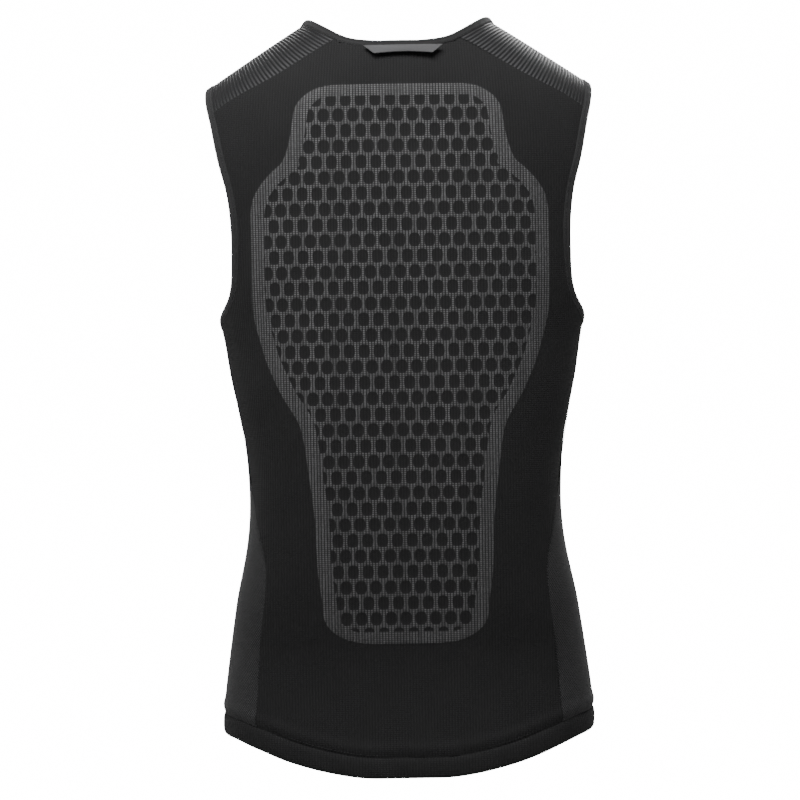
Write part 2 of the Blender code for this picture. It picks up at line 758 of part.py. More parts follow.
# ---------------------------------------------------------------------------
# Fabric shell
# ---------------------------------------------------------------------------


def back_panel(seams):
    right = joined(seams.back_side, seams.arm_back[::-1])
    top = both_halves(joined(seams.neck_nape[::-1], seams.back_yoke))
    grid = patch(mirrored(right), right, both_halves(seams.hem[0]), top)
    panel("back_panel", grid, "knit")


def side_panel(name, seams, side):
    grid = patch(seams.back_side, seams.front_side, seams.hem[1], seams.arm_pit)
    panel(name, side(grid), "side_mesh")


def front_panel(name, seams, side):
    outer = joined(seams.front_side, seams.arm_front)
    top = joined(seams.front_yoke[::-1], seams.neck_throat[::-1])
    share = np.linspace(0, 1, len(outer))[:, None]
    middle = onto_skin((1 - share) * seams.hem[2][-1] + share * top[-1])
    middle[0], middle[-1] = seams.hem[2][-1], top[-1]
    panel(name, side(patch(outer, middle, seams.hem[2], top)), "knit")


def shoulder_yoke(name, seams, side):
    neck, arm = seams.neck_shoulder, seams.arm_shoulder
    panel(name, side(patch(neck, arm, seams.front_yoke, seams.back_yoke)), "rib_mesh")


def hem_band(name, low, high):
    """One section of the turned-up hem between two seams."""
    share = np.linspace(0, 1, 4)[:, None]
    ends = [onto_skin((1 - share) * low[k] + share * high[k]) for k in (0, -1)]
    for end, k in zip(ends, (0, -1)):
        end[0], end[-1] = low[k], high[k]
    panel(name, patch(*ends, low, high), "knit", HEM_THICKNESS, BINDING_PROUD)


def shell():
    seams = Seams()

    def right_side(points):
        return points

    back_panel(seams)
    nape_to_zip = joined(seams.neck_nape[::-1], seams.neck_shoulder[::-1], seams.neck_throat[::-1])
    binding("neck_binding", both_halves(nape_to_zip), NECK_BINDING_WIDTH, closed=False)
    hem_band("hem_band_back", both_halves(seams.hem_low[0]), both_halves(seams.hem[0]))
    armhole = joined(seams.arm_shoulder, seams.arm_back, seams.arm_pit, seams.arm_front)[:-1]
    for name, side in (("right", right_side), ("left", mirrored)):
        side_panel(f"side_panel_{name}", seams, side)
        front_panel(f"front_panel_{name}", seams, side)
        shoulder_yoke(f"shoulder_yoke_{name}", seams, side)
        hem_band(f"hem_band_side_{name}", side(seams.hem_low[1]), side(seams.hem[1]))
        hem_band(f"hem_band_front_{name}", side(seams.hem_low[2]), side(seams.hem[2]))
    binding("armhole_binding_right", armhole, ARMHOLE_BINDING_WIDTH, closed=True)
    binding("armhole_binding_left", mirrored(armhole)[::-1], ARMHOLE_BINDING_WIDTH, closed=True)
    return seams


# ---------------------------------------------------------------------------
# The pad and its pocket, all on the back arc
# ---------------------------------------------------------------------------


def arc_points(x, level, depth_in):
    """Points a given depth inside the back arc; the arc's centre line is the pad's joint axis."""
    turn = np.arcsin((level - BACK_ARC_LEVEL) / BACK_ARC_RADIUS)
    radius = BACK_ARC_RADIUS - depth_in - np.square(x) / (2 * PAD_SPREAD_RADIUS)
    y = BACK_ARC_RADIUS - BACK_DEPTH - radius * np.cos(turn)
    z = BACK_ARC_LEVEL + radius * np.sin(turn)
    return np.stack(np.broadcast_arrays(x, y, z), axis=-1)


def under_panel(x, z, gap):
    """Points inside the back panel, a gap away from its inner face."""
    x, z = np.broadcast_arrays(x, z)
    y = -back_depth(z) * side_rounding(x, z) * crown(x, z)
    points = np.stack((x, y, z), axis=-1)
    facing = np.abs(outward(points)[..., 1])
    points[..., 1] += (PANEL_THICKNESS + gap) / np.maximum(facing, 0.2)
    return points


PAD_DEPTH = PANEL_THICKNESS + PAD_CLEARANCE
PAD_THICKNESS = PAD_OUTER_THICKNESS + TOUCH_GAP + PAD_INNER_THICKNESS
LINER_DEPTH = PAD_DEPTH + PAD_THICKNESS + PAD_CLEARANCE
PAD_LENGTH = PAD_TOP_LEVEL - PAD_BOTTOM_LEVEL
PAD_WIDEST_LEVEL = PAD_BOTTOM_LEVEL + 0.65 * PAD_LENGTH

pad_half_width = smooth_curve(
    (
        (PAD_BOTTOM_LEVEL, 0.70 * PAD_FOOT_HALF),
        (PAD_BOTTOM_LEVEL + 0.006, 0.90 * PAD_FOOT_HALF),
        (PAD_BOTTOM_LEVEL + 0.020, PAD_FOOT_HALF),
        (PAD_BOTTOM_LEVEL + 0.28 * PAD_LENGTH, PAD_WAIST_HALF),
        (PAD_BOTTOM_LEVEL + 0.42 * PAD_LENGTH, PAD_WAIST_HALF + 0.22 * (PAD_HALF_WIDTH - PAD_WAIST_HALF)),
        (PAD_WIDEST_LEVEL, PAD_HALF_WIDTH),
        (PAD_BOTTOM_LEVEL + 0.80 * PAD_LENGTH, PAD_HALF_WIDTH - 0.004),
        (PAD_BOTTOM_LEVEL + 0.88 * PAD_LENGTH, PAD_SHOULDER_HALF + 0.003),
        (PAD_TOP_LEVEL - 0.020, PAD_SHOULDER_HALF - 0.002),
        (PAD_TOP_LEVEL - 0.006, 0.90 * PAD_SHOULDER_HALF),
        (PAD_TOP_LEVEL, 0.70 * PAD_SHOULDER_HALF),
    )
)


def pad_levels(count):
    """Levels up the pad, closer together at its rounded ends."""
    share = np.linspace(0, 1, count)
    return PAD_BOTTOM_LEVEL + PAD_LENGTH * (share - 0.7 * np.sin(2 * math.pi * share) / (2 * math.pi))


def pad_layer(name, slot, depth_in, thickness, edge_in):
    levels = pad_levels(25)[:, None]
    across = np.linspace(-1, 1, 11)[None, :]
    x = (pad_half_width(levels) - edge_in) * across
    front = arc_points(x, levels, depth_in)
    back = arc_points(x, levels, depth_in + thickness)
    slab(name, front, back, slot)


def pad():
    pad_layer("pad_outer_layer", "firm_foam", PAD_DEPTH, PAD_OUTER_THICKNESS, 0.0)
    inner_depth = PAD_DEPTH + PAD_OUTER_THICKNESS + TOUCH_GAP
    pad_layer("pad_inner_layer", "soft_foam", inner_depth, PAD_INNER_THICKNESS, 0.003)
    across = np.linspace(-1, 1, 7)[None, :] * PULL_TAB_HALF_WIDTH
    top = PAD_BOTTOM_LEVEL - TOUCH_GAP
    levels = np.linspace(top - PULL_TAB_LENGTH, top, 7)[:, None]
    depth_in = PAD_DEPTH + PAD_OUTER_THICKNESS - PULL_TAB_THICKNESS / 2
    front = arc_points(across, levels, depth_in)
    back = arc_points(across, levels, depth_in + PULL_TAB_THICKNESS)
    slab("pad_pull_tab", front, back, "tape")


def pocket_liner():
    """A tray of lining: its floor is on the body's side and its walls reach the back panel."""
    widest = PAD_HALF_WIDTH + POCKET_SIDE_CLEARANCE
    top = PAD_TOP_LEVEL + POCKET_SIDE_CLEARANCE
    levels = np.concatenate((
        np.linspace(POCKET_MOUTH_LEVEL, PAD_WIDEST_LEVEL, 10),
        np.linspace(PAD_WIDEST_LEVEL, top, 10)[1:],
    ))
    grids = []
    for wall in (0.0, LINER_THICKNESS):
        rows = []
        for level in levels:
            half = widest
            if level > PAD_WIDEST_LEVEL:
                half = float(pad_half_width(min(level, PAD_TOP_LEVEL - 0.012))) + POCKET_SIDE_CLEARANCE
            half += wall
            floor_x = np.linspace(-half, half, 13)
            floor = arc_points(floor_x, np.full(13, level), LINER_DEPTH + wall)
            rims = under_panel(np.array((-half, half)), floor[[0, -1], 2], LINER_EDGE_GAP)
            rows.append(np.concatenate((rims[:1], floor, rims[1:])))
        lid_x = rows[-1][:, 0].copy()
        lid_x[0] -= TOUCH_GAP
        lid_x[-1] += TOUCH_GAP
        rows.append(under_panel(lid_x, rows[-1][:, 2] + POCKET_LID_RISE + LID_SLOPE * wall, LINER_EDGE_GAP))
        grids.append(np.array(rows))
    slab("pocket_liner", grids[0], grids[1], "lining")


def thickened(name, grid, thickness, slot):
    """A sheet given its thickness towards the body."""
    along = np.gradient(grid, axis=0)
    across = np.gradient(grid, axis=1)
    normal = np.cross(across, along)
    normal /= np.linalg.norm(normal, axis=-1, keepdims=True)
    if normal[..., 1].mean() < 0:
        normal = -normal
    slab(name, grid, grid + normal * thickness, slot)


def pocket_closure():
    """The flap below the pad, its hook strip and the loop strip that it holds to."""
    half = PAD_HALF_WIDTH - POCKET_SIDE_CLEARANCE
    across = np.linspace(-half, half, 13)
    strip_x = across * (half - STRIP_MARGIN) / half
    strip_levels = np.linspace(FLAP_LAP_BOTTOM + STRIP_MARGIN, FLAP_LAP_TOP - STRIP_MARGIN, 3)
    loop_grid = np.array([under_panel(strip_x, np.full(13, z), TOUCH_GAP) for z in strip_levels])
    thickened("pocket_loop_strip", loop_grid, HOOK_THICKNESS, "hook_and_loop")
    hook_gap = 2 * TOUCH_GAP + HOOK_THICKNESS
    hook_grid = np.array([under_panel(strip_x, np.full(13, z), hook_gap) for z in strip_levels])
    thickened("pocket_hook_strip", hook_grid, HOOK_THICKNESS, "hook_and_loop")
    lap_gap = hook_gap + HOOK_THICKNESS + TOUCH_GAP
    rows = []
    lap = under_panel(across, np.full(13, FLAP_LAP_TOP), lap_gap)
    hang = arc_points(across, np.full(13, POCKET_MOUTH_LEVEL - TOUCH_GAP), LINER_DEPTH)
    for z in np.linspace(FLAP_LAP_BOTTOM, FLAP_LAP_TOP, 3):
        rows.append(under_panel(across, np.full(13, z), lap_gap))
    for t in np.linspace(0, 1, 7)[1:]:
        sweep = t * t * (3 - 2 * t)
        row = lap * (1 - t) + hang * t
        row[:, 1] = lap[:, 1] * (1 - sweep) + hang[:, 1] * sweep
        rows.append(row)
    thickened("pocket_flap", np.array(rows), FLAP_THICKNESS, "lining")


# ---------------------------------------------------------------------------
# Hanging loop and label
# ---------------------------------------------------------------------------


def hanging_loop(seams):
    """A flat tape below the neck binding; its frame's X axis is the line that it flips about."""
    edge = seams.neck_nape[-1:]
    normal = outward(edge)[0]
    lean = math.atan2(normal[2], -normal[1])
    axis_out = BINDING_PROUD + TOUCH_GAP + LOOP_THICKNESS / 2
    place = edge[0] + normal * axis_out
    frame = empty("loop_axis", place, -lean)
    # In this frame -Y is away from the vest and -Z is down the back.
    face = -(LOOP_STANDOFF - axis_out)
    far = face - LOOP_THICKNESS
    top = -TOUCH_GAP
    low = top - LOOP_HEIGHT
    wide, narrow = LOOP_TOP_WIDTH / 2, LOOP_BOTTOM_WIDTH / 2
    outline = ((-narrow, low), (narrow, low), (wide, top), (-wide, top))
    loop = extruded("hanging_loop", outline, 1, far, face, "tape", frame)
    legs = []
    for side in (-1, 1):
        outer = side * wide
        inner = side * (wide - LOOP_LEG_WIDTH)
        leg_low = top - LOOP_THICKNESS
        low_corner = (min(outer, inner), far + BITE, leg_low)
        high_corner = (max(outer, inner), axis_out - TOUCH_GAP - BITE, top)
        legs.append(box_object("loop_leg", low_corner, high_corner, "tape", frame))
    bpy.context.view_layer.update()
    combine(loop, legs, "UNION")


def size_label():
    top = NAPE_LEVEL - NECK_BINDING_WIDTH - LABEL_DROP
    across = np.linspace(-LABEL_WIDTH / 2, LABEL_WIDTH / 2, 9)
    levels = np.linspace(top - LABEL_HEIGHT, top, 5)
    grid = np.array([under_panel(across, np.full(9, z), LABEL_GAP) for z in levels])
    thickened("size_label", grid, LABEL_THICKNESS, "label")


# ---------------------------------------------------------------------------
# Zip: built in a frame whose Z axis runs up the zip and whose Y axis points forwards
# ---------------------------------------------------------------------------

TAPE_OUT = -PANEL_THICKNESS - SEAM_GAP
TAPE_IN = TAPE_OUT - ZIP_TAPE_THICKNESS
COIL_IN = TAPE_OUT + TOUCH_GAP
COIL_OUT = COIL_IN + ZIP_COIL_THICKNESS
SLIDER_FACE = COIL_OUT + TOUCH_GAP
SLIDER_BACK = TAPE_IN - TOUCH_GAP
BAIL_AXIS_OUT = SLIDER_FACE + SLIDER_PLATE + BAIL_HEIGHT - BAIL_WALL - PULL_BAR_RADIUS - BAIL_PLAY


def zip_span():
    """Length of the zip from the top edge of the neck to the lower edge of the hem."""
    return (THROAT_LEVEL - FRONT_HEM_RISE) / math.cos(FRONT_LEAN)


def zip_chain(frame):
    length = zip_span()
    low = -length + ZIP_FOOT_MARGIN
    high = -NECK_BINDING_WIDTH - 2 * SEAM_GAP
    coil_high = -ZIP_END_MARGIN
    coil_low = -length + BOX_LENGTH + ZIP_FOOT_MARGIN + TOUCH_GAP
    near = ZIP_CHANNEL / 2
    for name, side in (("right", 1), ("left", -1)):
        spans = {
            "zip_tape": (
                (near + ZIP_SLIT_MARGIN, TAPE_IN, low),
                (near + ZIP_TAPE_WIDTH, TAPE_OUT, high),
                "zip_tape",
            ),
            "zip_coil": (
                (near, COIL_IN, coil_low),
                (near + ZIP_COIL_WIDTH, COIL_OUT, coil_high),
                "zip_plastic",
            ),
            "zip_top_stop": (
                (near, COIL_IN, coil_high + TOUCH_GAP),
                (near + ZIP_COIL_WIDTH, COIL_OUT, coil_high + TOUCH_GAP + STOP_LENGTH),
                "zip_metal",
            ),
        }
        for part, (a, b, slot) in spans.items():
            low_corner = (min(side * a[0], side * b[0]), a[1], a[2])
            high_corner = (max(side * a[0], side * b[0]), b[1], b[2])
            box_object(f"{part}_{name}", low_corner, high_corner, slot, frame)


def zip_ends(frame):
    """The insertion pin on the left tape, and the open-sided box on the right one that holds it."""
    low = -zip_span() + ZIP_FOOT_MARGIN
    high = low + BOX_LENGTH
    near = ZIP_CHANNEL / 2
    pin_low = (-near - ZIP_COIL_WIDTH, COIL_IN, low + BOX_WALL + TOUCH_GAP)
    pin_high = (-near, COIL_OUT, high)
    box_object("zip_insertion_pin", pin_low, pin_high, "zip_plastic", frame)
    far = near + ZIP_COIL_WIDTH + BOX_SIDE_WALL
    front = COIL_OUT + TOUCH_GAP + BOX_FRONT_WALL
    outer_high = (far, front, high - PIN_SHOWING)
    outer = box_object("zip_retainer_box", (-far, COIL_IN, low), outer_high, "zip_plastic", frame)
    pocket_low = (-near - ZIP_COIL_WIDTH - TOUCH_GAP, COIL_IN - BOX_WALL, low + BOX_WALL)
    pocket_high = (-near + TOUCH_GAP, COIL_OUT + TOUCH_GAP, high)
    pocket = box_object("box_pocket", pocket_low, pocket_high, "zip_plastic", frame)
    bpy.context.view_layer.update()
    combine(outer, [pocket], "DIFFERENCE")


def zip_slider(frame):
    rest = -ZIP_END_MARGIN - SLIDER_LENGTH / 2
    carriage = empty("slider_frame", (0.0, 0.0, rest), parent=frame)
    half = SLIDER_LENGTH / 2
    wide, narrow = SLIDER_HALF_WIDTH, 0.72 * SLIDER_HALF_WIDTH
    outline = (
        (-narrow, -half), (narrow, -half), (wide, 0.2 * half),
        (0.85 * wide, half), (-0.85 * wide, half), (-wide, 0.2 * half),
    )
    plate_out = SLIDER_FACE + SLIDER_PLATE
    slider = extruded("zip_slider", outline, 1, SLIDER_FACE, plate_out, "zip_metal", carriage)
    back = extruded("slider_back", outline, 1, SLIDER_BACK - SLIDER_PLATE, SLIDER_BACK, "zip_metal", carriage)
    post_half = ZIP_CHANNEL / 2 - POST_PLAY
    post_low = (-post_half, SLIDER_BACK - BITE, half - SLIDER_POST_LENGTH)
    post_high = (post_half, SLIDER_FACE + BITE, half - TOUCH_GAP)
    post = box_object("slider_post", post_low, post_high, "zip_metal", carriage)
    bail_half = BAIL_LENGTH / 2
    inner_half = bail_half - BAIL_WALL
    top = plate_out + BAIL_HEIGHT
    root = plate_out - BITE
    corner = BAIL_CORNER
    arch = (
        (root, -bail_half), (top - corner, -bail_half), (top, -bail_half + corner),
        (top, bail_half - corner), (top - corner, bail_half), (root, bail_half),
        (root, inner_half), (top - BAIL_WALL, inner_half),
        (top - BAIL_WALL, -inner_half), (root, -inner_half),
    )
    bail = extruded("slider_bail", arch, 0, -BAIL_HALF_WIDTH, BAIL_HALF_WIDTH, "zip_metal", carriage)
    bpy.context.view_layer.update()
    combine(slider, [back, post, bail], "UNION")
    zip_pull(carriage)


def zip_pull(carriage):
    """The pull hangs from a cross bar in the slider's bail; its frame is on the bar's axis."""
    axis = empty("pull_axis", (0.0, BAIL_AXIS_OUT, 0.0), parent=carriage)
    half = PULL_THICKNESS / 2
    eye_half = BAIL_HALF_WIDTH + PULL_EYE_PLAY
    eye_low = -BAIL_LENGTH / 2 - PULL_EYE_DROP
    bar = PULL_BAR_RADIUS
    low, wide = -PULL_LENGTH, PULL_HALF_WIDTH
    neck = eye_half + PULL_ARM_WIDTH
    corner = PULL_CORNER
    outline = (
        (-neck, eye_low - corner), (-wide, eye_low - PULL_TAPER), (-wide, low + corner),
        (-wide + corner, low), (wide - corner, low), (wide, low + corner),
        (wide, eye_low - PULL_TAPER), (neck, eye_low - corner), (neck, eye_low), (-neck, eye_low),
    )
    tab = extruded("zip_pull", outline, 1, -half, half, "zip_metal", axis)
    added = []
    for side in (-1, 1):
        near, far = side * eye_half, side * neck
        low_corner = (min(near, far), -bar, eye_low - BITE)
        added.append(box_object("pull_arm", low_corner, (max(near, far), bar, bar), "zip_metal", axis))
    cross = bmesh.new()
    inside = 0.98 * bar     # a little slimmer than the arms, so that no faces coincide
    length = 2 * (eye_half + BITE)
    bmesh.ops.create_cone(cross, cap_ends=True, segments=16, radius1=inside, radius2=inside, depth=length)
    bmesh.ops.rotate(cross, verts=cross.verts, matrix=Matrix.Rotation(math.pi / 2, 3, "Y"))
    added.append(add_object("pull_bar", cross, "zip_metal", axis))
    bpy.context.view_layer.update()
    combine(tab, added, "UNION")


def zip_backing(frame):
    """A strip of fabric behind the zip that keeps it off the body."""
    out = SLIDER_BACK - SLIDER_PLATE - TOUCH_GAP
    low = (-BACKING_HALF_WIDTH, out - BACKING_THICKNESS, -zip_span() + ZIP_FOOT_MARGIN)
    high = (BACKING_HALF_WIDTH, out, -NECK_BINDING_WIDTH - BACKING_TOP_MARGIN)
    box_object("zip_backing_flap", low, high, "knit", frame)


def front_zip():
    frame = empty("zip_frame", (0.0, FRONT_THROAT_DEPTH, THROAT_LEVEL), FRONT_LEAN)
    zip_chain(frame)
    zip_ends(frame)
    zip_slider(frame)
    zip_backing(frame)


clear_scene()
SEAMS = shell()
pad()
pocket_liner()
pocket_closure()
hanging_loop(SEAMS)
size_label()
front_zip()
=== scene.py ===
"""Zip-front back protector vest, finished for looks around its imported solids.

Metres, +Z up. The wearer faces +Y, so the back is on the -Y side and the wearer's right is +X.
"""

import math

import bmesh
import bpy
import numpy as np
from mathutils import Matrix, Vector


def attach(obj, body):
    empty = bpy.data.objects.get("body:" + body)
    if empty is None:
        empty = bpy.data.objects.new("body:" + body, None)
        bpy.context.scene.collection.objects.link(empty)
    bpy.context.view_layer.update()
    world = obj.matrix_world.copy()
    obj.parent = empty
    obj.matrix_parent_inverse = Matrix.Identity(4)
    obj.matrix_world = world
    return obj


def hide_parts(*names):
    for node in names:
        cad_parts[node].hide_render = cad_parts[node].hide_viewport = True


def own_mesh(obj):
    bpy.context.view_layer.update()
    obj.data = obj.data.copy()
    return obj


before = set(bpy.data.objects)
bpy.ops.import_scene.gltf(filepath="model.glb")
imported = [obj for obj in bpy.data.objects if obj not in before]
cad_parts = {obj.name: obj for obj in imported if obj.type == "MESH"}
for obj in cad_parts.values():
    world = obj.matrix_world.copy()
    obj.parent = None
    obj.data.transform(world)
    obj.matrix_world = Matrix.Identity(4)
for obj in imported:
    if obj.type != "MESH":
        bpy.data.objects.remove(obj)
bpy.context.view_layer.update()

# ---------------------------------------------------------------------------
# Studio: a pale floor well below the vest, so that the drawn pad clears it,
# one large soft light high behind the camera, two weak side lights and a pale surround.
# ---------------------------------------------------------------------------

FLOOR_LEVEL = -0.46
FLOOR_COLOUR = (0.60, 0.60, 0.60)
PAPER_WHITE = 16.0          # brightness of the surround and the floor as the camera sees them
CAMERA_DISTANCE = 3.5
VIEW_WIDTH = 0.7300         # across the picture at the vest's middle plane
SENSOR_WIDTH = 36.0         # millimetres
CAMERA_ROLL = math.radians(1.0)
AIM = (-0.0033, 0.0, 0.3358)


def set_up_studio():
    scene = bpy.context.scene
    surround = bpy.data.worlds.new("surround")
    scene.world = surround
    surround.use_nodes = True
    tree = surround.node_tree
    lit = tree.nodes["Background"]
    lit.inputs["Color"].default_value = (1.0, 1.0, 1.0, 1.0)
    lit.inputs["Strength"].default_value = 0.16
    seen = tree.nodes.new("ShaderNodeBackground")
    seen.inputs["Color"].default_value = (1.0, 1.0, 1.0, 1.0)
    seen.inputs["Strength"].default_value = PAPER_WHITE
    path = tree.nodes.new("ShaderNodeLightPath")
    choose = tree.nodes.new("ShaderNodeMixShader")
    tree.links.new(path.outputs["Is Camera Ray"], choose.inputs[0])
    tree.links.new(lit.outputs[0], choose.inputs[1])
    tree.links.new(seen.outputs[0], choose.inputs[2])
    tree.links.new(choose.outputs[0], tree.nodes["World Output"].inputs["Surface"])

    mesh = bpy.data.meshes.new("floor")
    reach = 40.0
    corners = [(-reach, -reach), (reach, -reach), (reach, reach), (-reach, reach)]
    mesh.from_pydata([(x, y, FLOOR_LEVEL) for x, y in corners], [], [(0, 1, 2, 3)])
    floor = bpy.data.objects.new("floor", mesh)
    scene.collection.objects.link(floor)
    paint = bpy.data.materials.new("floor")
    paint.use_nodes = True
    shader = paint.node_tree.nodes["Principled BSDF"]
    shader.inputs["Base Color"].default_value = (*FLOOR_COLOUR, 1.0)
    shader.inputs["Roughness"].default_value = 1.0
    shader.inputs["Specular IOR Level"].default_value = 0.0
    shader.inputs["Emission Strength"].default_value = PAPER_WHITE
    seen_by = paint.node_tree.nodes.new("ShaderNodeLightPath")
    paint.node_tree.links.new(seen_by.outputs["Is Camera Ray"], shader.inputs["Emission Color"])
    mesh.materials.append(paint)

    def soft_light(name, place, target, size, power):
        lamp = bpy.data.lights.new(name, "AREA")
        lamp.shape = "RECTANGLE"
        lamp.size, lamp.size_y = size
        lamp.energy = power
        item = bpy.data.objects.new(name, lamp)
        item.location = place
        item.rotation_euler = (Vector(target) - Vector(place)).to_track_quat("-Z", "Y").to_euler()
        item.visible_camera = False
        scene.collection.objects.link(item)

    soft_light("key_light", (-0.25, -0.95, 1.95), (0.0, 0.0, 0.42), (1.4, 0.8), 60.0)
    soft_light("left_light", (-2.0, -1.2, 0.9), (0.0, 0.0, 0.3), (0.8, 1.6), 5.5)
    soft_light("right_light", (2.0, -1.2, 0.9), (0.0, 0.0, 0.3), (0.8, 1.6), 5.0)
    soft_light("front_light", (0.4, 1.9, 1.7), (0.0, 0.0, 0.35), (1.6, 1.2), 40.0)

    lens = bpy.data.cameras.new("camera")
    lens.sensor_width = SENSOR_WIDTH
    lens.lens = SENSOR_WIDTH * CAMERA_DISTANCE / VIEW_WIDTH
    camera = bpy.data.objects.new("camera", lens)
    camera.location = (AIM[0], AIM[1] - CAMERA_DISTANCE, AIM[2])
    camera.rotation_euler = (math.pi / 2, CAMERA_ROLL, 0.0)
    scene.collection.objects.link(camera)
    scene.camera = camera


set_up_studio()

# ---------------------------------------------------------------------------
# Back panel: one piece of double-bed knit, stretched over the pad. A raised field of light
# stitches leaves rounded cells of bare dark knit, and a border of light columns runs round it.
# It is sewn to the yokes, the side panels, the bindings and the hem band.
# ---------------------------------------------------------------------------

NECK_LEVEL = 0.680
NAPE_LEVEL = NECK_LEVEL - 0.0235
THROAT_LEVEL = NECK_LEVEL - 0.084
SHOULDER_TIP_LEVEL = NECK_LEVEL - 0.059
ARMPIT_LEVEL = NECK_LEVEL - 0.271
WAIST_LEVEL = 0.250
HIP_LEVEL = 0.055
SIDE_HEM_RISE = 0.036
FRONT_HEM_RISE = 0.022
NECK_HALF_WIDTH = 0.083
SHOULDER_HALF_WIDTH = 0.174
YOKE_HALF_WIDTH = 0.190
ARMPIT_HALF_WIDTH = 0.1648
WAIST_HALF_WIDTH = 0.1404
HEM_HALF_WIDTH = 0.1675
BACK_DEPTH = 0.115
BACK_HEM_DEPTH = 0.098
FRONT_HEM_DEPTH = 0.106
FRONT_THROAT_DEPTH = 0.092
BACK_ARC_RADIUS = 1.500
BACK_ARC_LEVEL = 0.385
BACK_FLARE_LEVEL = 0.121
NAPE_START_LEVEL = NECK_LEVEL - 0.080
NAPE_LEAN = 2.2
SHOULDER_DROP = 0.115
SHOULDER_POWER = 2.5
RIDGE_SOFTNESS = 0.040
PANEL_THICKNESS = 0.0022
SEAM_GAP = 0.0004
TOUCH_GAP = 0.0003
NECK_BINDING_WIDTH = 0.0065
ARMHOLE_BINDING_WIDTH = 0.0075
BINDING_THICKNESS = 0.0034
HEM_BAND_WIDTH = 0.0185
HEM_THICKNESS = 0.0030
YOKE_SEAM_DROP = 0.0265
FRONT_LEAN = math.atan2(FRONT_HEM_DEPTH - FRONT_THROAT_DEPTH, THROAT_LEVEL)


def smooth_curve(knots):
    """A function through (position, value) knots, with a continuous slope and no overshoot."""
    place = np.array([k[0] for k in knots])
    value = np.array([k[1] for k in knots])
    step = np.diff(place)
    rise = np.diff(value) / step
    slope = np.zeros(len(place))
    for i in range(1, len(place) - 1):
        if rise[i - 1] * rise[i] > 0:
            before = 2 * step[i] + step[i - 1]
            after = step[i] + 2 * step[i - 1]
            slope[i] = (before + after) / (before / rise[i - 1] + after / rise[i])
    slope[0] = rise[0]
    slope[-1] = rise[-1]

    def at(position):
        position = np.clip(position, place[0], place[-1])
        i = np.clip(np.searchsorted(place, position, side="right") - 1, 0, len(step) - 1)
        t = (position - place[i]) / step[i]
        start = (1 + 2 * t) * (1 - t) ** 2 * value[i] + t * (1 - t) ** 2 * step[i] * slope[i]
        end = t * t * (3 - 2 * t) * value[i + 1] + t * t * (t - 1) * step[i] * slope[i + 1]
        return start + end

    return at


def between(start, end, share):
    return start + (end - start) * share


half_width = smooth_curve(
    (
        (0.0, HEM_HALF_WIDTH),
        (HIP_LEVEL, HEM_HALF_WIDTH + 0.0001),
        (between(HIP_LEVEL, WAIST_LEVEL, 0.48), between(HEM_HALF_WIDTH, WAIST_HALF_WIDTH, 0.57) + 0.003),
        (WAIST_LEVEL, WAIST_HALF_WIDTH),
        (between(WAIST_LEVEL, ARMPIT_LEVEL, 0.75), between(WAIST_HALF_WIDTH, ARMPIT_HALF_WIDTH, 0.70)),
        (ARMPIT_LEVEL, ARMPIT_HALF_WIDTH),
        (between(ARMPIT_LEVEL, SHOULDER_TIP_LEVEL, 0.40), between(ARMPIT_HALF_WIDTH, YOKE_HALF_WIDTH, 0.60)),
        (NECK_LEVEL, YOKE_HALF_WIDTH),
    )
)
squareness = smooth_curve(((0.0, 3.0), (WAIST_LEVEL, 4.0), (ARMPIT_LEVEL, 3.2), (NECK_LEVEL, 2.8)))


def arc_depth(z):
    """Depth of the arc that the pad, its pocket and the back over them share."""
    return np.sqrt(BACK_ARC_RADIUS**2 - (z - BACK_ARC_LEVEL) ** 2) - (BACK_ARC_RADIUS - BACK_DEPTH)


def back_depth(z):
    on_arc = arc_depth(z) - NAPE_LEAN * np.maximum(z - NAPE_START_LEVEL, 0.0) ** 2
    join_slope = (BACK_ARC_LEVEL - BACK_FLARE_LEVEL) / BACK_ARC_RADIUS
    hem_slope = -0.45 * join_slope
    t = np.clip(z / BACK_FLARE_LEVEL, 0.0, 1.0)
    span = BACK_FLARE_LEVEL
    flare = (1 + 2 * t) * (1 - t) ** 2 * BACK_HEM_DEPTH + t * (1 - t) ** 2 * span * hem_slope
    flare = flare + t * t * (3 - 2 * t) * arc_depth(BACK_FLARE_LEVEL) + t * t * (t - 1) * span * join_slope
    return np.where(z < BACK_FLARE_LEVEL, flare, on_arc)


def front_depth(z):
    return FRONT_HEM_DEPTH - z * math.tan(FRONT_LEAN)


def soft_abs(x):
    return np.sqrt(np.square(x) + RIDGE_SOFTNESS**2)


def ridge_level(x):
    """Height of the shoulder line, which is carried on over the neck opening."""
    run = soft_abs(SHOULDER_HALF_WIDTH) - soft_abs(NECK_HALF_WIDTH)
    slope = (NECK_LEVEL - SHOULDER_TIP_LEVEL) / run
    return NECK_LEVEL - slope * (soft_abs(x) - soft_abs(NECK_HALF_WIDTH))


def side_rounding(x, z):
    power = squareness(z)
    share = np.clip(np.abs(x) / half_width(z), 0.0, 0.99999)
    return (1 - share**power) ** (1 / power)


def crown(x, z):
    drop = np.clip((ridge_level(x) - z) / SHOULDER_DROP, 1e-9, 1.0)
    return (1 - (1 - drop) ** SHOULDER_POWER) ** (1 / SHOULDER_POWER)


def depth(z, y):
    return np.where(y < 0, back_depth(z), front_depth(z))


def skin_error(points):
    """Zero on the vest's smooth outer surface and positive outside it."""
    x, y, z = points[..., 0], points[..., 1], points[..., 2]
    power = squareness(z)
    drop = (ridge_level(x) - z) / SHOULDER_DROP
    around = (np.abs(x) / half_width(z)) ** power + (np.abs(y) / (depth(z, y) * crown(x, z))) ** power - 1
    reach = np.clip(np.abs(y) / (depth(z, y) * side_rounding(x, z)), 0.0, 0.9999)
    over = z - ridge_level(x) + SHOULDER_DROP * (1 - (1 - reach**SHOULDER_POWER) ** (1 / SHOULDER_POWER))
    return np.where(drop > 0.35, around * 0.05, over)


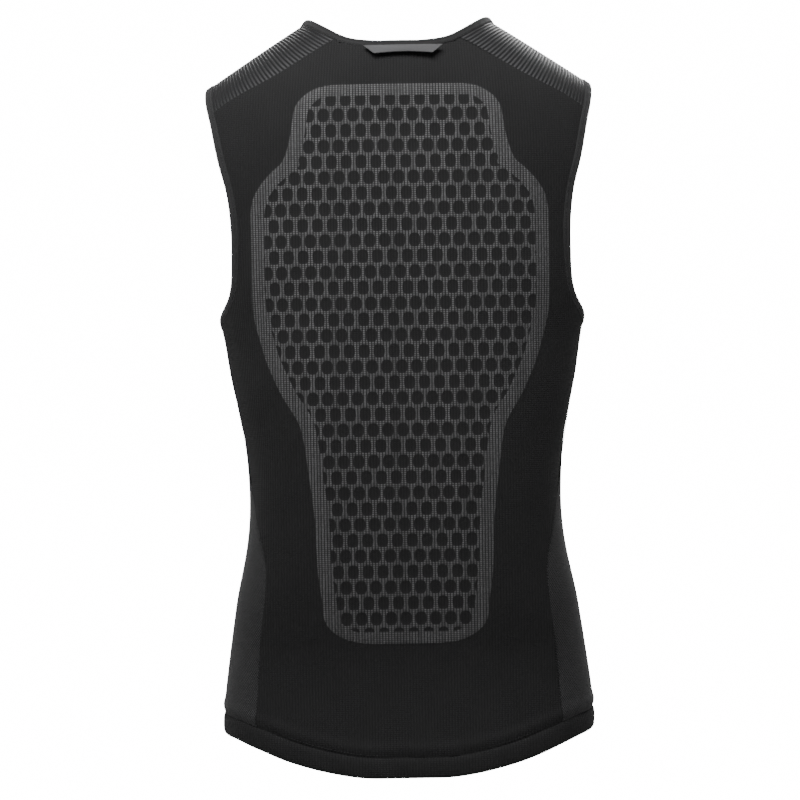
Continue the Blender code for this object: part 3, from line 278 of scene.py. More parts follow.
def outward(points):
    """Unit normals of the outer surface, pointing away from the body."""
    reach = 2e-6
    slopes = []
    for axis in range(3):
        nudge = np.zeros(3)
        nudge[axis] = reach
        slopes.append((skin_error(points + nudge) - skin_error(points - nudge)) / (2 * reach))
    normal = np.stack(slopes, axis=-1)
    return normal / np.maximum(np.linalg.norm(normal, axis=-1, keepdims=True), 1e-12)


def onto_skin(points, rounds=12):
    points = np.array(points, dtype=float)
    reach = 2e-6
    for _ in range(rounds):
        error = skin_error(points)
        normal = outward(points)
        slope = (skin_error(points + normal * reach) - skin_error(points - normal * reach)) / (2 * reach)
        step = np.clip(error / np.maximum(np.abs(slope), 1e-6), -0.006, 0.006)
        points = points - normal * step[..., None]
    return points


def back_point(x, z):
    return np.array((x, -float(back_depth(z) * side_rounding(x, z) * crown(x, z)), z))


def front_point(x, z):
    return np.array((x, float(front_depth(z) * side_rounding(x, z) * crown(x, z)), z))


def side_point(y, z):
    power = squareness(z)
    share = min(abs(y) / float(depth(z, y)), 0.999)
    return np.array((float(half_width(z) * (1 - share**power) ** (1 / power)), y, z))


def lengths_along(curve):
    return np.concatenate(([0.0], np.cumsum(np.linalg.norm(np.diff(curve, axis=0), axis=1))))


def evenly(curve, count):
    """The same polyline with count points at equal distances along it."""
    curve = np.asarray(curve)
    length = lengths_along(curve)
    wanted = np.linspace(0.0, length[-1], count)
    return np.stack([np.interp(wanted, length, curve[:, axis]) for axis in range(3)], axis=-1)


def catmull(a, b, c, d, t):
    """A point between b and c of a centripetal curve through a, b, c and d."""
    ab, bc, cd = (max(np.linalg.norm(q - p), 1e-6) ** 0.5 for p, q in ((a, b), (b, c), (c, d)))
    slope_b = ((b - a) / ab - (c - a) / (ab + bc) + (c - b) / bc) * bc
    slope_c = ((c - b) / bc - (d - b) / (bc + cd) + (d - c) / cd) * bc
    start = (1 + 2 * t) * (1 - t) ** 2 * b + t * (1 - t) ** 2 * slope_b
    return start + t * t * (3 - 2 * t) * c + t * t * (t - 1) * slope_c


def through(points, count, closed=False):
    """A smooth curve on the outer surface through the given points."""
    points = np.asarray(points)
    total = len(points)
    fine = []
    for i in range(total if closed else total - 1):
        if closed:
            a, b, c, d = (points[(i + k) % total] for k in (-1, 0, 1, 2))
        else:
            b, c = points[i], points[i + 1]
            a = points[i - 1] if i > 0 else 2 * b - c
            d = points[i + 2] if i + 2 < total else 2 * c - b
        for t in np.linspace(0.0, 1.0, 24, endpoint=False):
            fine.append(catmull(a, b, c, d, t))
    fine.append(points[0] if closed else points[-1])
    curve = onto_skin(evenly(onto_skin(np.array(fine)), count + 1 if closed else count))
    return curve[:-1] if closed else curve


def directions(curve, closed=False):
    if closed:
        ahead = np.roll(curve, -1, axis=0) - np.roll(curve, 1, axis=0)
    else:
        ahead = np.gradient(curve, axis=0)
    return ahead / np.maximum(np.linalg.norm(ahead, axis=1, keepdims=True), 1e-12)


def beside(curve, distance, closed=False):
    """The curve at a distance to the left of this one on the outer surface, seen from outside."""
    left = np.cross(outward(curve), directions(curve, closed))
    return onto_skin(curve + left * distance)


def mirrored(curve):
    return np.asarray(curve) * np.array((-1.0, 1.0, 1.0))


def joined(*curves):
    rows = [np.asarray(curve) for curve in curves]
    return np.concatenate([rows[0]] + [row[1:] for row in rows[1:]])


def both_halves(curve):
    return joined(mirrored(curve)[::-1], curve)


def neck_edge():
    rise = NECK_LEVEL - NAPE_LEVEL
    fall = NECK_LEVEL - THROAT_LEVEL
    half = NECK_HALF_WIDTH
    points = [
        front_point(0.0, THROAT_LEVEL),
        front_point(0.34 * half, THROAT_LEVEL + 0.04 * fall),
        front_point(0.66 * half, THROAT_LEVEL + 0.24 * fall),
        front_point(0.89 * half, THROAT_LEVEL + 0.60 * fall),
        np.array((half, 0.0, NECK_LEVEL)),
        back_point(0.80 * half, NAPE_LEVEL + 0.69 * rise),
        back_point(0.54 * half, NAPE_LEVEL + 0.17 * rise),
        back_point(0.27 * half, NAPE_LEVEL + 0.01 * rise),
        back_point(0.0, NAPE_LEVEL),
    ]
    return through(points, SEAM_SAMPLES)


def armhole_edge():
    height = SHOULDER_TIP_LEVEL - ARMPIT_LEVEL
    low = ARMPIT_LEVEL
    tip = SHOULDER_HALF_WIDTH
    pit = ARMPIT_HALF_WIDTH
    points = [
        np.array((tip, 0.0, SHOULDER_TIP_LEVEL)),
        back_point(tip - 0.003, low + 0.86 * height),
        back_point(tip - 0.012, low + 0.66 * height),
        back_point(pit - 0.0103, low + 0.52 * height),
        back_point(pit - 0.0137, low + 0.30 * height),
        back_point(pit - 0.0100, low + 0.10 * height),
        side_point(0.0, low),
        front_point(pit - 0.0104, low + 0.10 * height),
        front_point(pit - 0.0150, low + 0.30 * height),
        front_point(pit - 0.0150, low + 0.54 * height),
        front_point(tip - 0.0140, low + 0.74 * height),
        front_point(tip - 0.0040, low + 0.90 * height),
    ]
    return through(points, 2 * SEAM_SAMPLES, closed=True)


def hem_edge():
    side = SIDE_HEM_RISE
    front = FRONT_HEM_RISE
    wide = HEM_HALF_WIDTH
    points = [
        back_point(0.0, 0.0),
        back_point(0.24 * wide, 0.015 * side),
        back_point(0.44 * wide, 0.165 * side),
        back_point(0.64 * wide, 0.415 * side),
        back_point(0.81 * wide, 0.72 * side),
        back_point(0.93 * wide, 0.935 * side),
        side_point(0.0, 1.045 * side),
        front_point(0.85 * wide, 0.8 * side + 0.2 * front),
        front_point(0.50 * wide, 0.2 * side + 0.8 * front),
        front_point(0.0, front),
    ]
    return through(points, SEAM_SAMPLES)


def nearest(curve, point):
    return int(np.argmin(np.linalg.norm(curve - point, axis=1)))


def stretch(curve, start, end, steps):
    """The part of a curve from one of its points to another, in equal steps."""
    first, last = nearest(curve, start), nearest(curve, end)
    part = curve[first : last + 1] if first <= last else curve[last : first + 1][::-1]
    points = onto_skin(evenly(part, steps + 1))
    points[0], points[-1] = part[0], part[-1]
    return points


SEAM_SAMPLES = 1400
SIDE_SEAM_STEPS = 206
ARMHOLE_STEPS = 110
ARMPIT_STEPS = 44
SHOULDER_STEPS = 72
YOKE_STEPS = 60
NAPE_STEPS = 40
THROAT_STEPS = 52
ZIP_REVEAL = 0.0060


class Seams:
    """Every seam of the right half; the pieces on both sides of a seam share its points."""

    def __init__(self):
        neck = beside(neck_edge(), NECK_BINDING_WIDTH)
        neck[-1, 0] = 0.0
        arm = beside(armhole_edge(), -ARMHOLE_BINDING_WIDTH, closed=True)
        hem_low = hem_edge()
        hem = beside(hem_low, HEM_BAND_WIDTH)
        hem[0, 0] = 0.0
        self.back_yoke = self.yoke_seam(neck, arm, back_point)
        self.front_yoke = self.yoke_seam(neck, arm, front_point)
        self.back_side = self.side_seam(hem, arm, -1)
        self.front_side = self.side_seam(hem, arm, 1)
        zip_end = neck[nearest(neck[: SEAM_SAMPLES // 4, :1], (ZIP_REVEAL,))]
        self.neck_throat = stretch(neck, zip_end, self.front_yoke[0], THROAT_STEPS)
        self.neck_shoulder = stretch(neck, self.front_yoke[0], self.back_yoke[0], SHOULDER_STEPS)
        self.neck_nape = stretch(neck, self.back_yoke[0], neck[-1], NAPE_STEPS)
        shifted = np.roll(arm, SEAM_SAMPLES, axis=0)
        self.arm_shoulder = stretch(shifted, self.front_yoke[-1], self.back_yoke[-1], SHOULDER_STEPS)
        self.arm_back = stretch(arm, self.back_yoke[-1], self.back_side[-1], ARMHOLE_STEPS)
        self.arm_pit = stretch(arm, self.back_side[-1], self.front_side[-1], ARMPIT_STEPS)
        self.arm_front = stretch(arm, self.front_side[-1], self.front_yoke[-1], ARMHOLE_STEPS)
        half = SEAM_SAMPLES // 2
        front_end = hem[half:][nearest(hem[half:, :1], (ZIP_REVEAL,))]
        cuts = (hem[0], self.back_side[0], self.front_side[0], front_end)
        steps = (NAPE_STEPS + YOKE_STEPS, ARMPIT_STEPS, THROAT_STEPS + YOKE_STEPS)
        self.hem = [stretch(hem, a, b, n) for a, b, n in zip(cuts, cuts[1:], steps)]
        ends = [hem_low[nearest(hem, cut)] for cut in cuts]
        self.hem_low = [stretch(hem_low, a, b, n) for a, b, n in zip(ends, ends[1:], steps)]
        self.hem_low[0][0, 0] = 0.0

    def side_seam(self, hem, arm, facing):
        place = back_point if facing < 0 else front_point
        points = [
            hem[nearest(hem, place(0.1370, SIDE_HEM_RISE + 0.6 * HEM_BAND_WIDTH))],
            place(0.1325, 0.110),
            place(0.1255, 0.188),
            place(0.1345, WAIST_LEVEL - 0.010),
            side_point(facing * 0.040, WAIST_LEVEL + 0.045),
            side_point(facing * 0.030, 0.5 * (WAIST_LEVEL + 0.045 + ARMPIT_LEVEL)),
            arm[nearest(arm, side_point(facing * 0.030, ARMPIT_LEVEL - 0.004))],
        ]
        return stretch(through(points, SEAM_SAMPLES), points[0], points[-1], SIDE_SEAM_STEPS)

    def yoke_seam(self, neck, arm, place):
        inner_x = 0.74 * NECK_HALF_WIDTH
        outer_x = SHOULDER_HALF_WIDTH - 0.0115
        inner = place(inner_x, float(ridge_level(inner_x)) - 1.42 * YOKE_SEAM_DROP)
        outer = place(outer_x, float(ridge_level(outer_x)) - 1.10 * YOKE_SEAM_DROP)
        start, end = neck[nearest(neck, inner)], arm[nearest(arm, outer)]
        middle = place(0.5 * (start[0] + end[0]), 0.5 * (start[2] + end[2]) - 0.001)
        return stretch(through([start, middle, end], SEAM_SAMPLES), start, end, YOKE_STEPS)


def patch(left, right, bottom, top):
    """A grid on the outer surface between four curves that share their corners."""
    rows, columns = len(left), len(bottom)
    v = np.linspace(0, 1, rows)[:, None, None]
    u = np.linspace(0, 1, columns)[None, :, None]
    across = (1 - u) * left[:, None] + u * right[:, None]
    along = (1 - v) * bottom[None] + v * top[None]
    corners = (1 - v) * ((1 - u) * left[0] + u * right[0]) + v * ((1 - u) * left[-1] + u * right[-1])
    grid = onto_skin(across + along - corners)
    grid = onto_skin(np.array([evenly(row, columns) for row in grid]), 6)
    grid[0], grid[-1] = bottom, top
    grid[:, 0], grid[:, -1] = left, right
    return grid


def place_piece(name, points, faces, material, body="root", nodes=(), marks=None, sharp=50.0):
    """Adds a mesh, with its values per point, and says what it stands for and rides on."""
    mesh = bpy.data.meshes.new(name)
    mesh.from_pydata([tuple(p) for p in np.asarray(points).tolist()], [], faces)
    mesh.update()
    builder = bmesh.new()
    builder.from_mesh(mesh)
    bmesh.ops.recalc_face_normals(builder, faces=builder.faces)
    builder.to_mesh(mesh)
    builder.free()
    mesh.shade_smooth()
    mesh.set_sharp_from_angle(angle=math.radians(sharp))
    for label, values in (marks or {}).items():
        values = np.asarray(values, dtype=np.float32)
        if values.ndim == 1:
            mesh.attributes.new(label, "FLOAT", "POINT").data.foreach_set("value", values)
        else:
            whole = np.zeros((len(values), 3), dtype=np.float32)
            whole[:, : values.shape[1]] = values
            mesh.attributes.new(label, "FLOAT_VECTOR", "POINT").data.foreach_set("vector", whole.ravel())
    mesh.materials.append(material)
    item = bpy.data.objects.new(name, mesh)
    bpy.context.scene.collection.objects.link(item)
    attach(item, body)
    if nodes:
        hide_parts(*nodes)
    return item


def slab_faces(rows, columns):
    """Faces of a closed solid between two grids of points, one after the other."""
    index = np.arange(rows * columns).reshape(rows, columns)
    a, b = index[:-1, :-1], index[:-1, 1:]
    c, d = index[1:, 1:], index[1:, :-1]
    front = np.stack((a, b, c, d), axis=-1).reshape(-1, 4)
    back = np.stack((a, d, c, b), axis=-1).reshape(-1, 4) + rows * columns
    rims = []
    shift = rows * columns
    for edge in (index[0], index[:, -1], index[-1][::-1], index[:, 0][::-1]):
        rims.append(np.stack((edge[1:], edge[:-1], edge[:-1] + shift, edge[1:] + shift), axis=-1))
    return np.concatenate([front, back] + rims).tolist()


def cloth_weave(grid, start=None):
    """Where each point of a grid lies in the cloth: across its wales, and up them."""
    steps = np.linalg.norm(np.diff(grid[..., :2], axis=1), axis=-1)
    across = np.concatenate((np.zeros((len(grid), 1)), np.cumsum(steps, axis=1)), axis=1)
    if start is None:
        start = grid.shape[1] // 2
    across -= across[:, start : start + 1]
    return np.stack((across, grid[..., 2]), axis=-1)


def area_of(grid):
    a = np.cross(grid[1:, :-1] - grid[:-1, :-1], grid[:-1, 1:] - grid[:-1, :-1])
    b = np.cross(grid[1:, 1:] - grid[1:, :-1], grid[1:, 1:] - grid[:-1, 1:])
    return float(np.linalg.norm(a, axis=-1).sum() + np.linalg.norm(b, axis=-1).sum()) / 2


def cloth_panel(name, grid, material, nodes, marks, thickness=PANEL_THICKNESS, lift=None, proud=0.0):
    """A panel of cloth with an inner and an outer face; lift raises the outer face point by point."""
    normal = outward(grid)
    lift = np.zeros(grid.shape[:2]) if lift is None else lift
    outer = grid + normal * (proud + lift)[..., None]
    inner = grid - normal * (thickness - proud)
    points = np.concatenate((outer.reshape(-1, 3), inner.reshape(-1, 3)))
    both = {}
    for label, values in marks.items():
        flat = values.reshape(-1, values.shape[-1]) if values.ndim == 3 else values.reshape(-1)
        both[label] = np.concatenate((flat, flat))
    item = place_piece(name, points, slab_faces(*grid.shape[:2]), material, "root", nodes, both)
    round(area_of(grid), 5)
    return item


def smooth_step(value, low, high):
    t = np.clip((value - low) / (high - low), 0.0, 1.0)
    return t * t * (3 - 2 * t)


class Wiring:
    """Short words for adding and joining nodes in one material or group."""

    def __init__(self, tree):
        self.tree = tree

    def node(self, kind, **settings):
        made = self.tree.nodes.new(kind)
        for key, value in settings.items():
            setattr(made, key, value)
        return made

    def feed(self, socket, value):
        if isinstance(value, bpy.types.NodeSocket):
            self.tree.links.new(value, socket)
        elif value is not None:
            socket.default_value = value

    def sum(self, operation, *values, clamp=False):
        made = self.node("ShaderNodeMath", operation=operation, use_clamp=clamp)
        for socket, value in zip(made.inputs, values):
            self.feed(socket, value)
        return made.outputs[0]

    def blend(self, share, first, second):
        made = self.node("ShaderNodeMix", data_type="RGBA")
        self.feed(made.inputs[0], share)
        self.feed(made.inputs[6], (*first, 1.0) if isinstance(first, tuple) else first)
        self.feed(made.inputs[7], (*second, 1.0) if isinstance(second, tuple) else second)
        return made.outputs[2]

    def step(self, value, low, high):
        made = self.node("ShaderNodeMapRange", interpolation_type="SMOOTHSTEP")
        for socket, given in zip(made.inputs, (value, low, high, 0.0, 1.0)):
            self.feed(socket, given)
        return made.outputs[0]

    def group(self, tree, **values):
        made = self.node("ShaderNodeGroup", node_tree=tree)
        for label, value in values.items():
            self.feed(made.inputs[label.replace("_", " ")], value)
        return made


def effect(name, inputs, outputs):
    """An empty node group with named inputs and outputs."""
    tree = bpy.data.node_groups.new(name, "ShaderNodeTree")
    for label, kind, value in inputs:
        socket = tree.interface.new_socket(label, in_out="INPUT", socket_type=kind)
        if value is not None:
            socket.default_value = value
    for label, kind in outputs:
        tree.interface.new_socket(label, in_out="OUTPUT", socket_type=kind)
    wires = Wiring(tree)
    return tree, wires, wires.node("NodeGroupInput").outputs, wires.node("NodeGroupOutput").inputs


def knit_loops_effect():
    """Columns of knitted loops: their height, the painted shade in the gaps between them, the proud dot and
    each loop's number.
    """
    tree, w, given, out = effect(
        "knit_loops",
        [("Weave", "NodeSocketVector", None), ("Wale", "NodeSocketFloat", 0.0027),
         ("Course", "NodeSocketFloat", 0.0017)],
        [("Height", "NodeSocketFloat"), ("GapShade", "NodeSocketFloat"), ("Dot", "NodeSocketFloat"),
         ("Column", "NodeSocketFloat"), ("Row", "NodeSocketFloat")],
    )
    parts = w.node("ShaderNodeSeparateXYZ")
    w.feed(parts.inputs[0], given["Weave"])
    across = w.sum("DIVIDE", parts.outputs[0], given["Wale"])
    column = w.sum("FLOOR", across)
    reach = w.sum("ABSOLUTE", w.sum("SUBTRACT", w.sum("FRACT", across), 0.5))
    up = w.sum("DIVIDE", parts.outputs[1], given["Course"])
    row = w.sum("FLOOR", up)
    along = w.sum("ABSOLUTE", w.sum("SUBTRACT", w.sum("FRACT", up), 0.5))
    beside = w.sum("MULTIPLY", reach, 2.0)
    rounded = w.sum("SUBTRACT", 1.0, w.sum("MULTIPLY", beside, beside))
    above = w.sum("MULTIPLY", along, 2.0)
    ends = w.sum("SUBTRACT", 1.0, w.sum("MULTIPLY", above, above))
    height = w.sum("MULTIPLY", rounded, w.sum("MULTIPLY_ADD", ends, 0.6, 0.4))
    # The gap output is painted shade: darkest between the columns of loops, and most at the loop ends.
    rib_gap_shade = w.sum("SUBTRACT", 1.0, w.step(rounded, 0.08, 0.75))
    gap = w.sum("MULTIPLY", rib_gap_shade, w.sum("MULTIPLY_ADD", ends, -0.55, 1.0))
    dot = w.sum("MULTIPLY", w.step(rounded, 0.35, 0.85), w.step(ends, 0.25, 0.80))
    for label, value in (("Height", height), ("GapShade", gap), ("Dot", dot), ("Column", column), ("Row", row)):
        w.feed(out[label], value)
    return tree


def yarn_shade_effect():
    """Uneven dyeing from yarn to yarn and patch to patch, as a factor round one, and fine fuzz."""
    tree, w, given, out = effect(
        "yarn_shade",
        [("Weave", "NodeSocketVector", None), ("Amount", "NodeSocketFloat", 0.2)],
        [("Factor", "NodeSocketFloat"), ("Fuzz", "NodeSocketFloat")],
    )
    patchy = w.node("ShaderNodeTexNoise")
    w.feed(patchy.inputs["Vector"], given["Weave"])
    w.feed(patchy.inputs["Scale"], 28.0)
    w.feed(patchy.inputs["Detail"], 3.0)
    fine = w.node("ShaderNodeTexNoise")
    w.feed(fine.inputs["Vector"], given["Weave"])
    w.feed(fine.inputs["Scale"], 1500.0)
    w.feed(fine.inputs["Detail"], 1.0)
    total = w.sum("ADD", w.sum("MULTIPLY", patchy.outputs[0], 0.55), w.sum("MULTIPLY", fine.outputs[0], 0.45))
    centred = w.sum("MULTIPLY", w.sum("SUBTRACT", total, 0.5), 2.0)
    w.feed(out["Factor"], w.sum("MULTIPLY_ADD", centred, given["Amount"], 1.0))
    w.feed(out["Fuzz"], fine.outputs[0])
    return tree


KNIT_LOOPS = knit_loops_effect()
YARN_SHADE = yarn_shade_effect()


def cloth_material(name, roughness, sheen, sheen_roughness=0.5):
    """A material with its shader's constant values set, and the wiring to add the rest with."""
    material = bpy.data.materials.new(name)
    material.use_nodes = True
    shader = material.node_tree.nodes["Principled BSDF"]
    shader.inputs["Roughness"].default_value = roughness
    shader.inputs["Specular IOR Level"].default_value = 0.18
    shader.inputs["Sheen Weight"].default_value = sheen
    shader.inputs["Sheen Roughness"].default_value = sheen_roughness
    return material, shader, Wiring(material.node_tree)


def tinted(wires, colour, factor):
    """A colour multiplied by a factor that changes over the surface."""
    made = wires.node("ShaderNodeVectorMath", operation="SCALE")
    wires.feed(made.inputs[0], colour if isinstance(colour, bpy.types.NodeSocket) else colour)
    wires.feed(made.inputs["Scale"], factor)
    return made.outputs[0]


def raised(wires, shader, height, distance, strength=1.0):
    bump = wires.node("ShaderNodeBump")
    bump.inputs["Strength"].default_value = strength
    bump.inputs["Distance"].default_value = distance
    wires.feed(bump.inputs["Height"], height)
    wires.feed(shader.inputs["Normal"], bump.outputs[0])


WALE = 0.002638             # distance between columns of loops
COURSE = 0.001747           # distance between rows of loops
CELL_WALES = 5              # the cell pattern repeats every so many columns
CELL_COURSES = 8            # and its rows are so many courses high
CELL_REACH = (0.372, 0.435) # half a bare cell's size, as shares of those
CELL_ROUNDNESS = 2.7
CELL_RISE = 0.00038         # how far the light stitches stand up from the cells
BORDER_WIDTH = 0.0125
LATTICE_LEVEL = 0.6031      # middle of a row of cells that meets the centre line between two cells
BARE_KNIT = (0.0130, 0.0130, 0.0133)
LIGHT_GROUND = (0.0185, 0.0185, 0.0188)
LIGHT_YARN = (0.108, 0.108, 0.110)

# The cell field's outline: its side at each level, and how far its corners are rounded off.
FIELD_LOW = 0.1195
FIELD_HIGH = 0.6165
FIELD_FOOT_CORNER = (0.042, 0.026)   # across and up
FIELD_TOP_CORNER = (0.031, 0.024)
FIELD_OFF_CENTRE = -0.0011
field_side = smooth_curve(
    (
        (FIELD_LOW, 0.072), (0.150, 0.0735), (0.183, 0.0775), (0.230, 0.0795), (0.270, 0.084),
        (0.310, 0.090), (0.344, 0.108), (0.381, 0.123), (0.425, 0.132), (0.500, 0.1325),
        (0.514, 0.1305), (0.527, 0.124), (0.539, 0.1135), (0.549, 0.103), (0.570, 0.096),
        (0.595, 0.092), (FIELD_HIGH, 0.088),
    )
)


def corner_cut(room, corner):
    """How far a rounded corner comes in where so much room is left to the field's end."""
    across, tall = corner
    share = np.clip(room / tall, 0.0, 1.0)
    return across * (1 - np.sqrt(1 - (1 - share) ** 2))


def field_half_width(z):
    foot = corner_cut(z - FIELD_LOW, FIELD_FOOT_CORNER)
    top = corner_cut(FIELD_HIGH - z, FIELD_TOP_CORNER)
    return field_side(z) - foot - top


def field_depth(grid, end_allowance=0.0):
    """How far each point is inside the field's outline; the border may be narrower at the ends."""
    x, z = np.abs(grid[..., 0] - FIELD_OFF_CENTRE), grid[..., 2]
    slope = (field_half_width(z + 0.001) - field_half_width(z - 0.001)) / 0.002
    sideways = (field_half_width(z) - x) / np.sqrt(1 + slope**2)
    return np.minimum(sideways, np.minimum(FIELD_HIGH - z, z - FIELD_LOW) + end_allowance)


def fold_back(value, span):
    """A triangle wave: the distance from the nearest even multiple of span."""
    return span - np.abs(np.mod(value, 2 * span) - span)


def bare_cells(weave):
    """One in the middle of a bare cell, zero on the light stitches round it."""
    across = fold_back(weave[..., 0] / WALE / CELL_WALES + 0.5, 0.5)
    up = fold_back((weave[..., 1] - LATTICE_LEVEL) / COURSE / CELL_COURSES, 1.0)
    wide, tall = CELL_REACH
    size = [(a / wide) ** CELL_ROUNDNESS + (b / tall) ** CELL_ROUNDNESS
            for a, b in ((across, up), (0.5 - across, 1.0 - up))]
    return 1 - smooth_step(np.minimum(*size), 0.5, 1.3)


def cell_pattern_effect():
    """One inside the bare cells of the field, zero on the light stitches round them."""
    tree, w, given, out = effect(
        "cell_pattern", [("Weave", "NodeSocketVector", None)], [("Bare", "NodeSocketFloat")]
    )
    parts = w.node("ShaderNodeSeparateXYZ")
    w.feed(parts.inputs[0], given["Weave"])
    across = w.sum("MULTIPLY_ADD", parts.outputs[0], 1 / (WALE * CELL_WALES), 0.5)
    across = w.sum("PINGPONG", across, 0.5)
    up = w.sum("MULTIPLY", w.sum("SUBTRACT", parts.outputs[1], LATTICE_LEVEL), 1 / (COURSE * CELL_COURSES))
    up = w.sum("PINGPONG", up, 1.0)
    sizes = []
    for a, b in ((across, up), (w.sum("SUBTRACT", 0.5, across), w.sum("SUBTRACT", 1.0, up))):
        wide = w.sum("POWER", w.sum("DIVIDE", a, CELL_REACH[0]), CELL_ROUNDNESS)
        tall = w.sum("POWER", w.sum("DIVIDE", b, CELL_REACH[1]), CELL_ROUNDNESS)
        sizes.append(w.sum("ADD", wide, tall))
    w.feed(out["Bare"], w.sum("SUBTRACT", 1.0, w.step(w.sum("MINIMUM", *sizes), 0.86, 1.14)))
    return tree


CELL_PATTERN = cell_pattern_effect()


def jacquard_material():
    material, shader, w = cloth_material("jacquard_knit", 0.82, 0.04)
    weave = w.node("ShaderNodeAttribute", attribute_name="weave").outputs["Vector"]
    field = w.node("ShaderNodeSeparateXYZ")
    w.feed(field.inputs[0], w.node("ShaderNodeAttribute", attribute_name="field").outputs["Vector"])
    loops = w.group(KNIT_LOOPS, Weave=weave, Wale=WALE, Course=COURSE)
    bare = w.group(CELL_PATTERN, Weave=weave).outputs["Bare"]
    in_field = w.step(field.outputs[0], -0.0004, 0.0004)
    in_border = w.sum("SUBTRACT", 1.0, w.step(field.outputs[1], BORDER_WIDTH - 0.0003, BORDER_WIDTH + 0.0003))
    light = w.sum("MULTIPLY", in_field, w.sum("MAXIMUM", in_border, w.sum("SUBTRACT", 1.0, bare)))
    chance = w.node("ShaderNodeTexWhiteNoise", noise_dimensions="2D")
    spot = w.node("ShaderNodeCombineXYZ")
    w.feed(spot.inputs[0], loops.outputs["Column"])
    w.feed(spot.inputs[1], loops.outputs["Row"])
    w.feed(chance.inputs["Vector"], spot.outputs[0])
    column_chance = w.node("ShaderNodeTexWhiteNoise", noise_dimensions="1D")
    w.feed(column_chance.inputs["W"], loops.outputs["Column"])
    lively = w.sum("MULTIPLY_ADD", chance.outputs["Value"], 0.35, 0.70)
    lively = w.sum("MULTIPLY", lively, w.sum("MULTIPLY_ADD", column_chance.outputs["Value"], 0.45, 0.70))
    shade = w.group(YARN_SHADE, Weave=weave, Amount=0.30)
    ground = w.blend(light, BARE_KNIT, LIGHT_GROUND)
    # The ground is darkened in the gaps between the loops: painted shade.
    ground = tinted(w, ground, w.sum("MULTIPLY", shade.outputs["Factor"],
                                     w.sum("MULTIPLY_ADD", loops.outputs["GapShade"], -0.55, 1.0)))
    bright = w.sum("MULTIPLY", light, w.sum("MULTIPLY", loops.outputs["Dot"], lively))
    w.feed(shader.inputs["Base Color"], w.blend(bright, ground, LIGHT_YARN))
    w.feed(shader.inputs["Roughness"], w.sum("MULTIPLY_ADD", light, -0.22, 0.86))
    height = w.sum("MULTIPLY_ADD", shade.outputs["Fuzz"], 0.25, loops.outputs["Height"])
    raised(w, shader, height, 0.0004)
    return material


seams = Seams()
back_right = joined(seams.back_side, seams.arm_back[::-1])
back_top = both_halves(joined(seams.neck_nape[::-1], seams.back_yoke))
back_grid = patch(mirrored(back_right), back_right, both_halves(seams.hem[0]), back_top)
back_weave = cloth_weave(back_grid) - (FIELD_OFF_CENTRE, 0.0)
back_field = field_depth(back_grid)
inner_field = field_depth(back_grid, 0.0020)
HEM_PINCH = 0.0009          # the seams draw the cloth in
HEM_BULGE = 0.0011          # and it swells beside them


def seam_pucker(distance, pinch=HEM_PINCH, bulge=HEM_BULGE):
    """Offset of the cloth at a distance from a seam: a pinch at it and a soft swell beside it."""
    return bulge * np.exp(-((distance - 0.008) / 0.0045) ** 2) - pinch * np.exp(-((distance / 0.0022) ** 2))


def drape(grid):
    """Shallow, broad unevenness of a stretched knit, the same on every run."""
    x, z = grid[..., 0], grid[..., 2]
    broad = np.sin(31 * x + 9 * z + 0.6) * np.sin(17 * z - 12 * x + 1.1)
    slanted = np.sin(64 * z + 37 * np.abs(x) + 0.4 * np.sin(23 * x)) * smooth_step(np.abs(x), 0.07, 0.13)
    return 0.0005 * broad + 0.00035 * slanted


def hem_distance(grid):
    """Distance of each point above the seam of the hem band, measured up its own column."""
    steps = np.linalg.norm(np.diff(grid, axis=0), axis=-1)
    return np.concatenate((np.zeros((1, grid.shape[1])), np.cumsum(steps, axis=0)))


inside_border = smooth_step(inner_field, BORDER_WIDTH - 0.0005, BORDER_WIDTH + 0.0005)
back_lift = CELL_RISE * (1 - bare_cells(back_weave) * inside_border)
back_lift *= smooth_step(back_field, 0.0, 0.0015)
back_lift += drape(back_grid) + seam_pucker(hem_distance(back_grid))
# The pocket's lower corners show through as a faint ridge outside the field.
POCKET_RIDGE = 0.00045
below = 1 - smooth_step(back_grid[..., 2], 0.13, 0.15)
below = below * smooth_step(np.abs(back_grid[..., 0]), 0.025, 0.035)
back_lift += POCKET_RIDGE * below * np.exp(-(((back_field + 0.0120) / 0.0009) ** 2))
knit_marks = {"weave": back_weave, "field": np.stack((back_field, inner_field), axis=-1)}
JACQUARD = jacquard_material()
cloth_panel("back_panel_knit", back_grid, JACQUARD, ["back_panel"], knit_marks, lift=back_lift)

# ---------------------------------------------------------------------------
# Front panels: the same knit without the light stitches, one each side of the zip.
# ---------------------------------------------------------------------------


def plain_knit_material(name, colour, wale=WALE, course=COURSE, bump=0.0004):
    material, shader, w = cloth_material(name, 0.86, 0.04)
    weave = w.node("ShaderNodeAttribute", attribute_name="weave").outputs["Vector"]
    loops = w.group(KNIT_LOOPS, Weave=weave, Wale=wale, Course=course)
    shade = w.group(YARN_SHADE, Weave=weave, Amount=0.35)
    # Painted shade in the gaps between the loops.
    loop_gap_shade = w.sum("MULTIPLY_ADD", loops.outputs["GapShade"], -0.55, 1.0)
    factor = w.sum("MULTIPLY", shade.outputs["Factor"], loop_gap_shade)
    tint = w.node("ShaderNodeRGB")
    tint.outputs[0].default_value = (*colour, 1.0)
    w.feed(shader.inputs["Base Color"], tinted(w, tint.outputs[0], factor))
    w.feed(shader.inputs["Roughness"], w.sum("MULTIPLY_ADD", loops.outputs["Height"], -0.08, 0.90))
    raised(w, shader, w.sum("MULTIPLY_ADD", shade.outputs["Fuzz"], 0.25, loops.outputs["Height"]), bump)
    return material


